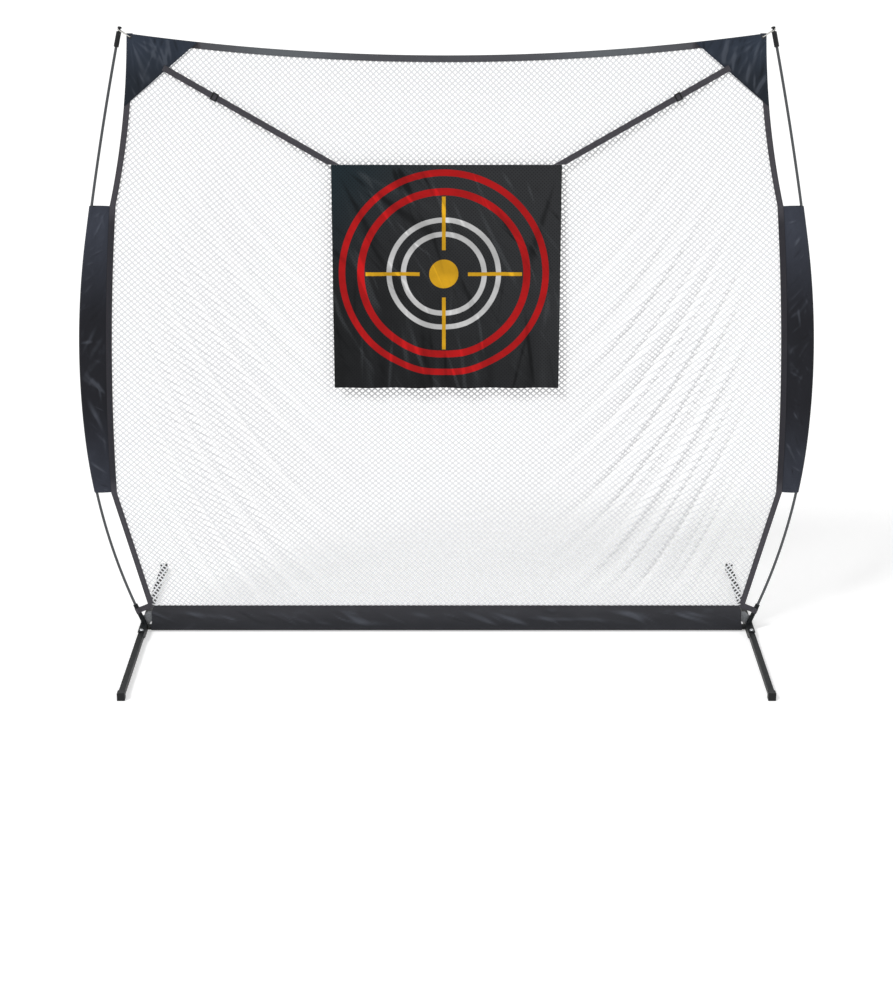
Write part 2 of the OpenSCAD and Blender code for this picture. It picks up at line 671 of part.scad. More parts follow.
function border_faces() = concat(
    [for (r = [0:2:rows - 2]) each border_piece(
        corner(0, 0, r, 3), corner(0, 0, r, 0), corner(0, 0, r + 2, 2), corner(0, 0, r + 2, 3))],
    [for (r = [0:2:rows - 2]) each border_piece(
        corner(0, columns, r + 2, 1), corner(0, columns, r + 2, 2),
        corner(0, columns, r, 0), corner(0, columns, r, 1))],
    [for (c = [0:2:columns - 2]) each border_piece(
        corner(0, c + 2, 0, 2), corner(0, c + 2, 0, 3), corner(0, c, 0, 1), corner(0, c, 0, 2))],
    [for (c = [0:2:columns - 2]) each border_piece(
        corner(0, c, rows, 0), corner(0, c, rows, 1), corner(0, c + 2, rows, 3), corner(0, c + 2, rows, 0))]);
function border_piece(a, b, c, d) = concat([for (t = flat_piece([a, b, c, d])) [t[0], t[2], t[1]]],
    wall(c, b), wall(a, d));

module top_band() {
    color(web_black) difference() {
        upright(sleeve_y, cloth_t)
            polygon(concat(top_edge, reversed(shifted(top_edge, [0, -top_band_w]))));
        for (s = [-1, 1]) side(s) eyelet_hole();
    }
}

module side_webbing(s) {
    color(web_black) side(s) difference() {
        upright(webbing_y, webbing_t)
            polygon(concat(side_edge, reversed(shifted(side_edge, [-webbing_w, 0]))));
        eyelet_hole();
    }
}

function pocket_ring(t) =
    let (pole = pole_point(side_sleeve_from + t * side_sleeve_len))
    let (chord = edge_high - edge_low)
    let (edge = edge_low + t * chord + [4 * side_bow * t * (1 - t) - webbing_w, 0])
    let (reach = norm(pole - edge), way = (pole - edge) / reach)
    let (thin = sleeve_y, thick = sleeve_y + cloth_t)
    let (sewn = webbing_w + 2)
    let (inner = [[0, -thin], [sewn, -thin], for (k = [0:fold_steps]) let (a = 180 * k / fold_steps)
        [reach + pocket_r * sin(a), -pocket_r * cos(a)], [sewn, thin], [0, thin]])
    let (outer = [[0, -thick], [sewn, -thick], for (k = [0:fold_steps]) let (a = 180 * k / fold_steps)
        [reach + (pocket_r + cloth_t) * sin(a), -(pocket_r + cloth_t) * cos(a)], [sewn, thick], [0, thick]])
    [for (p = concat(outer, reversed(inner))) [edge[0] + p[0] * way[0], p[1], edge[1] + p[0] * way[1]]];

module side_sleeve(s) {
    half = fold_steps + 5;
    ring = 2 * half;
    points = [for (k = [0:sleeve_stations]) each pocket_ring(k / sleeve_stations)];
    walls = [for (k = [0:sleeve_stations - 1], j = [0:ring - 1])
        let (a = k * ring, b = (k + 1) * ring, q = (j + 1) % ring)
        each [[a + j, b + q, a + q], [a + j, b + j, b + q]]];
    top = sleeve_stations * ring;
    ends = [for (j = [0:half - 2]) let (i = ring - 1 - j)
        each [[j, j + 1, i - 1], [j, i - 1, i],
              [top + j, top + i - 1, top + j + 1], [top + j, top + i, top + i - 1]]];
    color(cloth_black) side(s) polyhedron(points, concat(walls, ends));
}

module corner_patch(s) {
    // A three-cornered patch: along the top edge, down the side edge and straight across
    top_part = [for (p = top_edge) if (p[0] > patch_top[0]) p];
    side_part = [for (k = [1:edge_steps]) if (side_edge[k][1] > patch_foot[1]) side_edge[k]];
    color(cloth_black) side(s) difference() {
        upright(patch_y, cloth_t) polygon(concat([patch_top], top_part, side_part, [patch_foot]));
        eyelet_hole();
    }
}

module bottom_sleeve() {
    // A folded strip: round the crossbar below, and with its two edges sewn to the net above
    low_end = hub_x - bottom_sleeve_in_low;
    high_end = hub_x - bottom_sleeve_in_high;
    rise = bottom_sleeve_top - crossbar_z;
    over = bottom_sleeve_top + 1;
    function fold(r, half) = [[-half, rise], for (k = [0:12]) let (a = 180 + 15 * k) [r * cos(a), r * sin(a)],
                              [half, rise]];
    color(cloth_black) intersection() {
        translate([-hub_x, 0, crossbar_z]) rotate([90, 0, 90]) linear_extrude(2 * hub_x)
            polygon(concat(fold(bottom_sleeve_r + cloth_t, sleeve_y + cloth_t),
                           reversed(fold(bottom_sleeve_r, sleeve_y))));
        upright(-crossbar_d, 2 * crossbar_d)
            polygon([[-low_end, 0], [low_end, 0], [high_end, over], [-high_end, over]]);
    }
}

module corner_tab(s) {
    // A band round the socket, whose end is sewn behind the side webbing
    loop_bore = socket_d + 2 * fit_gap;
    color(web_black) side(s) translate([pole_foot[0], 0, pole_foot[1]]) rotate([0, socket_lean, 0])
        translate([0, 0, tab_at - webbing_w / 2]) linear_extrude(webbing_w) difference() {
            union() {
                circle(d = loop_bore + 2 * webbing_t);
                translate([-tab_len, -sleeve_y - cloth_t]) square([tab_len, cloth_t]);
            }
            circle(d = loop_bore);
        }
}

module strap_place(s) {
    // Puts local X along the strap, from its root to the target, and local Z across the strap
    side(s) translate([strap_root[0], -strap_y - strap_t / 2, strap_root[1]])
        rotate([0, -strap_angle, 0]) children();
}

module target_strap(s) {
    color(web_black) intersection() {
        strap_place(s) translate([-strap_tail, -strap_t / 2, -strap_w / 2])
            cube([strap_len + strap_tail + strap_w, strap_t, strap_w]);
        translate([-hub_x, -2 * strap_y, target_top + hinge_gap]) cube([2 * hub_x, 2 * strap_y, strap_len]);
    }
}

module strap_slider(s) {
    half = strap_w / 2 + run_gap;
    off = strap_t / 2 + run_gap;
    color(plastic_black) strap_place(s) translate([slider_at - slider_len / 2, 0, 0]) {
        for (z = [-half - slider_rail, half])
            translate([0, -off - slider_bar_t, z]) cube([slider_len, 2 * off + 2 * slider_bar_t, slider_rail]);
        for (x = [0, slider_len - slider_bar])
            translate([x, -off - slider_bar_t, -half - slider_rail])
                cube([slider_bar, slider_bar_t, 2 * half + 2 * slider_rail]);
        translate([(slider_len - slider_bar) / 2, off, -half - slider_rail])
            cube([slider_bar, slider_bar_t, 2 * half + 2 * slider_rail]);
    }
}

// Height of the cloth's middle off the hinge plane: u runs -1 to 1 across, v runs 0 to 1 down.
// Upright folds deepen towards the free bottom edge, and a pull runs in from each top corner.
function fold_y(u, v) =
    let (hang = fold_depth * v * sin(360 * (2.3 * u + 0.35 * v)) * (0.75 + 0.25 * cos(170 * u)))
    let (pull = [for (s = [-1, 1]) let (off = (1 - s * u) / 2 - 0.9 * v)
        fold_depth * 0.6 * exp(-pow(off / 0.06, 2)) * v * exp(-4 * v)])
    -panel_slope * sqrt(v) + hang - 2 * (pull[0] + pull[1]);

module target_panel() {
    columns = panel_columns;
    rows = panel_rows;
    count = (columns + 1) * (rows + 1);
    function grid(y) = [for (r = [0:rows], c = [0:columns])
        let (u = 2 * c / columns - 1, v = r / rows)
        [u * target_w / 2, fold_y(u, v) - target_y + y, target_top - v * target_h]];
    function at(side, r, c) = side * count + r * (columns + 1) + c;
    faces = [for (r = [0:rows - 1], c = [0:columns - 1]) each [
        [at(0, r, c), at(0, r, c + 1), at(0, r + 1, c + 1)],
        [at(0, r, c), at(0, r + 1, c + 1), at(0, r + 1, c)],
        [at(1, r, c), at(1, r + 1, c + 1), at(1, r, c + 1)],
        [at(1, r, c), at(1, r + 1, c), at(1, r + 1, c + 1)]]];
    sides = [for (r = [0:rows - 1]) each [
        [at(0, r, 0), at(0, r + 1, 0), at(1, r + 1, 0)], [at(0, r, 0), at(1, r + 1, 0), at(1, r, 0)],
        [at(0, r, columns), at(1, r + 1, columns), at(0, r + 1, columns)],
        [at(0, r, columns), at(1, r, columns), at(1, r + 1, columns)]]];
    // The top hem comes to a ridge, no further from the hinge line than the cloth's faces
    ridge = [for (c = [0:columns])
        [(2 * c / columns - 1) * target_w / 2, -target_y, target_top + cloth_panel_t / 2]];
    function on_ridge(c) = 2 * count + c;
    hems = [for (c = [0:columns - 1]) each [
        [at(0, 0, c), on_ridge(c + 1), at(0, 0, c + 1)], [at(0, 0, c), on_ridge(c), on_ridge(c + 1)],
        [on_ridge(c), at(1, 0, c + 1), on_ridge(c + 1)], [on_ridge(c), at(1, 0, c), at(1, 0, c + 1)],
        [at(0, rows, c), at(0, rows, c + 1), at(1, rows, c + 1)],
        [at(0, rows, c), at(1, rows, c + 1), at(1, rows, c)]]];
    ridge_ends = [[at(0, 0, 0), at(1, 0, 0), on_ridge(0)],
                  [at(0, 0, columns), on_ridge(columns), at(1, 0, columns)]];
    color(cloth_black) polyhedron(concat(grid(-cloth_panel_t / 2), grid(cloth_panel_t / 2), ridge),
                                  concat(faces, sides, hems, ridge_ends));
}

hub(-1);  // hub_left
hub(1);  // hub_right
gusset(-1);  // gusset_left
gusset(1);  // gusset_right
gusset_rivets();
pole_socket(-1);  // pole_socket_left
pole_socket(1);  // pole_socket_right
crossbar(-1);  // crossbar_left
crossbar(0);  // crossbar_centre
crossbar(1);  // crossbar_right
crossbar_spigot(-1);  // crossbar_spigot_left
crossbar_spigot(1);  // crossbar_spigot_right
spigot_rivets();
button_springs();
snap_button(button_places[0]);  // snap_button_hub_left
snap_button(button_places[1]);  // snap_button_joint_left
snap_button(button_places[2]);  // snap_button_joint_right
snap_button(button_places[3]);  // snap_button_hub_right
leg_bolts();
leg_washers();
leg(-1, -1);  // leg_front_left
leg(1, -1);  // leg_front_right
leg(-1, 1);  // leg_rear_left
leg(1, 1);  // leg_rear_right
foot_cap(-1, -1);  // foot_cap_front_left
foot_cap(1, -1);  // foot_cap_front_right
foot_cap(-1, 1);  // foot_cap_rear_left
foot_cap(1, 1);  // foot_cap_rear_right
pole_section(-1, 0);  // pole_lower_left
pole_section(1, 0);  // pole_lower_right
pole_section(-1, 1);  // pole_middle_left
pole_section(1, 1);  // pole_middle_right
pole_section(-1, 2);  // pole_upper_left
pole_section(1, 2);  // pole_upper_right
pole_ferrules(-1);  // pole_ferrules_left
pole_ferrules(1);  // pole_ferrules_right
shock_cord(-1);  // shock_cord_left
shock_cord(1);  // shock_cord_right
tip_cap(-1);  // tip_cap_left
tip_cap(1);  // tip_cap_right
corner_cord(-1);  // corner_cord_left
corner_cord(1);  // corner_cord_right
corner_eyelet(-1);  // corner_eyelet_left
corner_eyelet(1);  // corner_eyelet_right
net();
top_band();
side_webbing(-1);  // side_webbing_left
side_webbing(1);  // side_webbing_right
side_sleeve(-1);  // side_sleeve_left
side_sleeve(1);  // side_sleeve_right
corner_patch(-1);  // corner_patch_left
corner_patch(1);  // corner_patch_right
bottom_sleeve();
corner_tab(-1);  // corner_tab_left
corner_tab(1);  // corner_tab_right
target_strap(-1);  // target_strap_left
target_strap(1);  // target_strap_right
strap_slider(-1);  // strap_slider_left
strap_slider(1);  // strap_slider_right
target_panel();
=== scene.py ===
"""A free-standing golf practice net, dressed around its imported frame. Metres, Z up, floor at z = 0."""

import math

import bmesh
import bpy
import numpy as np
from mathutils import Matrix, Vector


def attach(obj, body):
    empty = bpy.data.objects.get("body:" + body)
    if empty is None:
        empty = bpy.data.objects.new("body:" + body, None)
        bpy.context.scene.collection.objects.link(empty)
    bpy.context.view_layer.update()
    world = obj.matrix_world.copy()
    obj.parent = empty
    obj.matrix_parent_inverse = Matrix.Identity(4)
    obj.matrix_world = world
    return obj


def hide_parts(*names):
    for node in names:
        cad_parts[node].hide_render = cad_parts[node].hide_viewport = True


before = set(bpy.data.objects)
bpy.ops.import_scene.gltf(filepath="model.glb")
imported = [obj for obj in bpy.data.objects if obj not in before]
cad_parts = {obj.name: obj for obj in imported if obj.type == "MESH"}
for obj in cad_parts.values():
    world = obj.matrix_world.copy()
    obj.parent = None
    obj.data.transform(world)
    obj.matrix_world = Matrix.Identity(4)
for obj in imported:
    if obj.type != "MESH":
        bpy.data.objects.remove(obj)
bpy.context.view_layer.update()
scene = bpy.context.scene
scene.view_settings.view_transform = "Standard"


# Camera: a long lens 7.3 m in front of the net and 3 m up, looking a little down.

CAMERA_PLACE = (0.0, -7.3071, 3.0403)
CAMERA_DIP = 19.226
LENS_MM = 80.2

camera = bpy.data.objects.new("camera", bpy.data.cameras.new("camera"))
camera.data.lens = LENS_MM
camera.data.sensor_width = 36
camera.location = CAMERA_PLACE
camera.rotation_euler = (math.radians(90 - CAMERA_DIP), 0, 0)
scene.collection.objects.link(camera)
scene.camera = camera


# Studio: an even white room, two broad soft lamps far off, and a pale floor that keeps the
# shadow. The room and the floor show white to the camera and in gloss.

ROOM_LIGHT = 0.45
FLOOR_HALF = 30.0
FLOOR_PALE = 0.80
FLOOR_GLOW = 0.42
LAMPS = {
    "key_lamp": {"from": (-3.2, -3.6, 5.0), "strength": 1.75, "spread": 16},
    "fill_lamp": {"from": (4.2, -4.2, 3.0), "strength": 0.45, "spread": 50},
}


class Wire:
    """An output socket of a node tree. Arithmetic on wires and numbers adds Math nodes."""

    def __init__(self, tree, socket=None):
        self.tree = tree
        self.socket = socket

    def node(self, kind, sockets=None, out=0, **settings):
        """Add a node: its settings first, then each socket's value or link."""
        made = self.tree.nodes.new("ShaderNode" + kind)
        for name, value in settings.items():
            setattr(made, name, value)
        for name, value in (sockets or {}).items():
            feed(made.inputs[name], value)
        return Wire(self.tree, made.outputs[out])

    def math(self, operation, *others):
        return self.node("Math", dict(enumerate((self, *others))), operation=operation)

    def __add__(self, other):
        return self.math("ADD", other)

    def __sub__(self, other):
        return self.math("SUBTRACT", other)

    def __mul__(self, other):
        return self.math("MULTIPLY", other)

    def __rsub__(self, other):
        return self.node("Math", {0: other, 1: self}, operation="SUBTRACT")

    __radd__ = __add__

    def __abs__(self):
        return self.math("ABSOLUTE")

    def wave(self, pitch):
        """A sine of this length, moved to run from 0 to 1."""
        return (self * (2 * math.pi / pitch)).math("SINE") * 0.5 + 0.5

    def rise(self, low, high):
        """0 below low, 1 above high, and a smooth step between them."""
        sockets = {"Value": self, "From Min": low, "From Max": high}
        return self.node("MapRange", sockets, interpolation_type="SMOOTHSTEP")

    def noise(self, scale, detail=2.0):
        """Soft noise at this many patches a metre, about 0.5."""
        return self.node("TexNoise", {"Vector": self, "Scale": scale, "Detail": detail})

    def stretch(self, *scales):
        """This place with each axis scaled, so that noise on it runs long or short."""
        return self.node("VectorMath", {0: self, 1: scales}, operation="MULTIPLY")

    def axis(self, name):
        return self.node("SeparateXYZ", {"Vector": self}, out=name)

    def place(self):
        """The shaded point in the piece's own metres."""
        return self.node("TexCoord", out="Object")

    def laid_flat(self):
        """The shaded point on the piece's flat map, in metres: X across and Y along."""
        return self.node("TexCoord", out="UV")

    def mark(self, name):
        """The mesh's point attribute of this name."""
        return self.node("Attribute", out="Fac", attribute_name=name)

    def between(self, *ends):
        """A colour that goes from one end to the other as this goes from 0 to 1. An end that
        isn't a wire is a screen colour, of 0 to 255 a channel."""
        first, second = (end if isinstance(end, Wire) else screen(end) for end in ends)
        return self.node("Mix", {0: self, 6: first, 7: second}, out=2, data_type="RGBA")

    def bump(self, depth, strength, under=None):
        """A normal from this height, in metres, on top of the normal under it."""
        sockets = {"Height": self, "Distance": depth, "Strength": strength}
        if under:
            sockets["Normal"] = under
        return self.node("Bump", sockets)


def screen(color):
    """Linear light of a screen colour of 0 to 255 a channel: the sRGB curve undone."""
    return tuple(((c / 255 + 0.055) / 1.055) ** 2.4 if c > 10 else c / 255 / 12.92 for c in color)


def feed(socket, value):
    """Link a wire to a socket, or set the socket's value. A colour of three gets its alpha."""
    if isinstance(value, Wire):
        value.tree.links.new(value.socket, socket)
    elif socket.type == "RGBA":
        socket.default_value = (*value[:3], 1.0)
    else:
        socket.default_value = value


def seen_directly(start):
    """1 for rays from the camera, from gloss and through glass, and 0 for light itself."""
    kinds = ("Is Camera Ray", "Is Glossy Ray", "Is Transmission Ray")
    from_camera, from_gloss, through_glass = (start.node("LightPath", out=kind) for kind in kinds)
    return from_camera.math("MAXIMUM", from_gloss).math("MAXIMUM", through_glass)


world = bpy.data.worlds.new("studio")
world.use_nodes = True
scene.world = world
room = Wire(world.node_tree)
room_strength = seen_directly(room) * (1 - ROOM_LIGHT) + ROOM_LIGHT
room_sockets = world.node_tree.nodes["Background"].inputs
feed(room_sockets["Color"], (1, 1, 1))
feed(room_sockets["Strength"], room_strength)

floor_mesh = bpy.data.meshes.new("floor")
floor_corners = [(x * FLOOR_HALF, y * FLOOR_HALF, 0) for x, y in ((-1, -1), (1, -1), (1, 1), (-1, 1))]
floor_mesh.from_pydata(floor_corners, [], [(0, 1, 2, 3)])
floor = bpy.data.objects.new("floor", floor_mesh)
scene.collection.objects.link(floor)
floor_finish = bpy.data.materials.new("floor_finish")
floor_finish.use_nodes = True
floor_tree = floor_finish.node_tree
floor_start = Wire(floor_tree)
floor_matt = floor_start.node("BsdfDiffuse", {"Color": (FLOOR_PALE,) * 3})
floor_glow = floor_start.node(
    "Emission", {"Color": (1, 1, 1), "Strength": seen_directly(floor_start) * FLOOR_GLOW}
)
floor_light = floor_start.node("AddShader", {0: floor_matt, 1: floor_glow})
feed(floor_tree.nodes["Material Output"].inputs["Surface"], floor_light)
floor_mesh.materials.append(floor_finish)

for lamp_name, lamp in LAMPS.items():
    light = bpy.data.lights.new(lamp_name, "SUN")
    light.energy = lamp["strength"]
    light.angle = math.radians(lamp["spread"])
    lamp_object = bpy.data.objects.new(lamp_name, light)
    lamp_object.location = lamp["from"]
    lamp_object.rotation_euler = Vector(lamp["from"]).to_track_quat("Z", "Y").to_euler()
    scene.collection.objects.link(lamp_object)


# Hubs, sockets, crossbar and legs: welded steel plate and drawn tube under a satin black
# powder coat, a little dusty near the floor and rubbed grey where the sections slide.

SIDES = {"left": -1, "right": 1}
COAT_DARK = (14, 16, 18)
COAT_LIGHT = (30, 33, 35)
COAT_WORN = (74, 77, 80)
FLOOR_DUST = (120, 117, 110)
SMOOTH_BELOW = 40
ROUND_ABOVE = 35
FLAT_BELOW = 0.5
DOUBLED = 1e-6


def finish(material, **values):
    """Feed the sockets of the material's shader, by their names with _ for a space."""
    shader = material.node_tree.nodes["Principled BSDF"]
    for socket, value in values.items():
        feed(shader.inputs[socket.replace("_", " ")], value)
    return material


def new_finish(name, **constants):
    """A material with these constants set on its shader, and a wire to start its nodes from."""
    material = bpy.data.materials.new(name)
    material.use_nodes = True
    return finish(material, **constants), Wire(material.node_tree)


def powder_coat():
    """Orange peel and grain over black, pale dust low down, and rubbed spots."""
    material, start = new_finish("powder_coat", Specular_IOR_Level=0.12)
    place = start.place()
    grain = place.noise(1400, 3.0)
    cloudy = place.noise(9, 4.0)
    rubbed = place.stretch(1, 5, 5).noise(60, 5.0).rise(0.63, 0.74)
    low = 1 - place.axis("Z").rise(0.004, 0.035)
    dust = low * place.noise(140, 4.0).rise(0.4, 0.75)
    coat = (cloudy * 0.7 + grain * 0.3).between(COAT_DARK, COAT_LIGHT)
    coat = (rubbed * 0.35).between(coat, COAT_WORN)
    return finish(
        material,
        Base_Color=(dust * 0.45).between(coat, FLOOR_DUST),
        Roughness=0.38 + cloudy * 0.16 + dust * 0.3 - rubbed * 0.08,
        Normal=grain.bump(0.00012, 0.5),
    )


def show(mesh, material, node=None, body="frame"):
    """Put a mesh into the scene under its own name, with its material and its body, in place of
     the CAD node that it dresses, if any."""
    made = bpy.data.objects.new(mesh.name, mesh)
    scene.collection.objects.link(made)
    mesh.materials.append(material)
    mesh.shade_smooth()
    mesh.set_sharp_from_angle(angle=math.radians(SMOOTH_BELOW))
    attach(made, body)
    if node:
        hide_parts(node)
    return made


def eased(node, material, body="frame", edge=0.0):
    """A copy of a CAD solid with its doubled points merged, and its sharp edges rounded off by
    the width edge."""
    shape = bmesh.new()
    shape.from_mesh(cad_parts[node].data)
    bmesh.ops.remove_doubles(shape, verts=shape.verts, dist=DOUBLED)
    bmesh.ops.dissolve_limit(
        shape, angle_limit=math.radians(FLAT_BELOW), verts=shape.verts, edges=shape.edges
    )
    mesh = bpy.data.meshes.new(node + "_finished")
    shape.to_mesh(mesh)
    shape.free()
    made = show(mesh, material, node, body)
    if edge:
        rounded = made.modifiers.new("rounded_edges", "BEVEL")
        rounded.width = edge
        rounded.segments = 2
        rounded.limit_method = "ANGLE"
        rounded.angle_limit = math.radians(ROUND_ABOVE)
        rounded.use_clamp_overlap = True
        rounded.harden_normals = True


steel_coat = powder_coat()
eased("crossbar_centre", steel_coat, edge=0.0003)
for side_name in SIDES:
    for node in ("hub", "pole_socket", "crossbar"):
        eased(f"{node}_{side_name}", steel_coat, edge=0.0003)
    for end in ("front", "rear"):
        leg = f"leg_{end}_{side_name}"
        eased(leg, steel_coat, leg, edge=0.0012)


# Bolts, rivets, gussets, spigots, springs and snap buttons: zinc-plated steel. The gussets
# are dull and spangled, the turned and pressed small parts are bright, the eyelets smoked.

ZINC = (196, 198, 200)
ZINC_SHADE = (150, 153, 157)
WEATHERED = (148, 150, 152)
WEATHERED_SHADE = (112, 115, 119)
SMOKED = (74, 75, 78)
SMOKED_SHADE = (40, 41, 44)


def zinc_plate(name, shade, bright, roughness, spangle):
    """Bright metal with fine scratches, and crystals of plating where spangle is above 0."""
    material, start = new_finish(name, Metallic=1.0)
    place = start.place()
    crystals = place.node("TexVoronoi", {"Vector": place, "Scale": 260.0}, out="Color").axis("X")
    scratches = place.stretch(1, 1, 14).noise(320, 4.0)
    tone = crystals * spangle + scratches * (1 - spangle)
    return finish(
        material,
        Base_Color=tone.between(shade, bright),
        Roughness=roughness + scratches * 0.18 + crystals * 0.12 * spangle,
        Normal=scratches.bump(0.00005, 0.4),
    )


bright_zinc = zinc_plate("bright_zinc", ZINC_SHADE, ZINC, roughness=0.18, spangle=0.15)
dull_zinc = zinc_plate("dull_zinc", WEATHERED_SHADE, WEATHERED, roughness=0.42, spangle=0.7)
smoked_zinc = zinc_plate("smoked_zinc", SMOKED_SHADE, SMOKED, roughness=0.35, spangle=0.2)
for node in ("leg_bolts", "spigot_rivets", "button_springs"):
    eased(node, bright_zinc)
eased("gusset_rivets", dull_zinc)
for side_name in SIDES:
    eased(f"gusset_{side_name}", dull_zinc, edge=0.0004)
    eased(f"corner_eyelet_{side_name}", smoked_zinc)
    for node in ("crossbar_spigot", "pole_ferrules"):
        eased(f"{node}_{side_name}", bright_zinc)
    for place_name in ("hub", "joint"):
        button = f"snap_button_{place_name}_{side_name}"
        eased(button, bright_zinc, button)


# Moulded pieces: foot caps, the caps on the poles' tips and the strap sliders in black
# plastic with a fine spark finish, and the leg washers in natural nylon.


def moulded(name, dark, light, roughness):
    """Fine mould grain, faint flow marks, and paler rubbed spots."""
    material, start = new_finish(name, Specular_IOR_Level=0.22)
    place = start.place()
    grain = place.noise(2200, 2.0)
    flow = place.stretch(1, 1, 3).noise(45, 5.0)
    rubbed = place.noise(180, 6.0).rise(0.6, 0.78)
    return finish(
        material,
        Base_Color=(flow * 0.6 + rubbed * 0.4).between(dark, light),
        Roughness=roughness + flow * 0.12 + rubbed * 0.1,
        Normal=grain.bump(0.00008, 0.6),
    )


black_plastic = moulded("black_plastic", (15, 16, 17), (40, 41, 43), roughness=0.42)
natural_nylon = moulded("natural_nylon", (205, 203, 195), (228, 226, 219), roughness=0.35)
eased("leg_washers", natural_nylon)
for side_name in SIDES:
    eased(f"tip_cap_{side_name}", black_plastic, edge=0.0004)
    slider = f"strap_slider_{side_name}"
    eased(slider, black_plastic, slider, edge=0.0005)
    for end in ("front", "rear"):
        foot_cap = f"foot_cap_{end}_{side_name}"
        eased(foot_cap, black_plastic, f"leg_{end}_{side_name}", edge=0.0008)


# Poles: three pultruded fibreglass rods a side, sprung into one long bow by the net. Each
# section is an arc, and the sections slide together in steel ferrules on an elastic cord.

SECTION = 0.7
POLE_FOOT = (1.071, 0.033)
POLE_LEANS = [23.3, 3.9, -9.7, -13.1]
POLE_R = 0.00475
SECTION_GAP = 0.0003

pole_s = np.linspace(0, 3 * SECTION, 2101)
pole_lean = np.radians(np.interp(pole_s, SECTION * np.arange(4), POLE_LEANS))


def run_up(rates, steps):
    """The sum of a rate along its steps, by the trapezium rule, from 0."""
    return np.concatenate([[0], np.cumsum((rates[1:] + rates[:-1]) / 2 * np.diff(steps))])


pole_x = POLE_FOOT[0] + run_up(np.sin(pole_lean), pole_s)
pole_z = POLE_FOOT[1] + run_up(np.cos(pole_lean), pole_s)


def pole_at(s):
    """Right pole's centre line at the lengths s: foot plus the sum of its leaning steps."""
    return np.interp(s, pole_s, pole_x), np.interp(s, pole_s, pole_z)


def pole_path(side, low, high, steps):
    """Points of one side's centre line from the length low to the length high."""
    x, z = pole_at(np.linspace(low, high, steps))
    return np.stack([side * x, 0 * x, z], axis=1)


def lengths_along(path):
    """Length of a path from its start to each of its points."""
    return np.concatenate([[0], np.cumsum(np.linalg.norm(np.diff(path, axis=0), axis=1))])


def grid_faces(rows, columns, ring=False):
    """Four-sided faces of a grid of points, row by row. A ring's last column meets its first."""
    i, j = np.meshgrid(np.arange(rows - 1), np.arange(columns if ring else columns - 1), indexing="ij")
    a = (i * columns + j).ravel()
    b = (i * columns + (j + 1) % columns).ravel()
    return np.stack([a, a + columns, b + columns, b], axis=1)


def surface(name, points, faces, flat=None, marks=None):
    """A mesh of points and of arrays of faces, with a UV map in metres and point attributes."""
    mesh = bpy.data.meshes.new(name)
    corners = np.concatenate([f.ravel() for f in faces]).astype(np.int32)
    sizes = np.concatenate([np.full(len(f), f.shape[1]) for f in faces])
    mesh.vertices.add(len(points))
    mesh.vertices.foreach_set("co", points.astype(np.float32).ravel())
    mesh.loops.add(len(corners))
    mesh.loops.foreach_set("vertex_index", corners)
    mesh.polygons.add(len(sizes))
    mesh.polygons.foreach_set("loop_start", (np.cumsum(sizes) - sizes).astype(np.int32))
    mesh.update(calc_edges=True)
    if flat is not None:
        layer = mesh.uv_layers.new(name="flat")
        layer.data.foreach_set("uv", flat[corners].astype(np.float32).ravel())
    for mark, values in (marks or {}).items():
        attribute = mesh.attributes.new(mark, "FLOAT", "POINT")
        attribute.data.foreach_set("value", values.astype(np.float32))
    return mesh


def unit(vectors):
    """The vectors, each brought to a length of 1."""
    return vectors / np.linalg.norm(vectors, axis=-1, keepdims=True)


def outward(mesh):
    """Take away points that no face uses, and turn every face outward."""
    shape = bmesh.new()
    shape.from_mesh(mesh)
    bmesh.ops.delete(shape, geom=[v for v in shape.verts if not v.link_faces], context="VERTS")
    bmesh.ops.recalc_face_normals(shape, faces=shape.faces)
    shape.to_mesh(mesh)
    shape.free()
    return mesh


def round_bar(name, path, radius, across, sides, ring=False):
    """A round bar along a path: at each point a circle square to the way there, in the plane
    of the direction across and of the one square to both. Open ends close in a flat fan."""
    if ring:
        way = unit(np.roll(path, -1, axis=0) - np.roll(path, 1, axis=0))
    else:
        way = unit(np.gradient(path, axis=0))
    across = np.broadcast_to(np.array(across, float), path.shape)
    flat_way = unit(np.cross(across, way))
    across = np.cross(way, flat_way)
    turn = np.arange(sides) * 2 * np.pi / sides
    cosine, sine = np.cos(turn)[:, None], np.sin(turn)[:, None]
    circle = cosine * flat_way[:, None] + sine * across[:, None]
    points = (path[:, None] + radius * circle).reshape(-1, 3)
    length = lengths_along(path)
    flat = np.stack([np.tile(turn * radius, len(path)), np.repeat(length, sides)], axis=1)
    count = len(points)
    if ring:
        walls = grid_faces(len(path) + 1, sides, ring=True) % count
        return surface(name, points, [walls[:, ::-1]], flat)
    points = np.concatenate([points, path[:1], path[-1:]])
    flat = np.concatenate([flat, [[0, 0], [0, length[-1]]]])
    start = np.arange(sides)
    after = (start + 1) % sides
    foot_fan = np.stack([start, after, np.full(sides, count)], axis=1)
    head_fan = np.stack([after, start, np.full(sides, 1)], axis=1) + count - sides
    head_fan[:, 2] = count + 1
    walls = grid_faces(len(path), sides, ring=True)
    return surface(name, points, [walls[:, ::-1], foot_fan[:, ::-1], head_fan[:, ::-1]], flat)


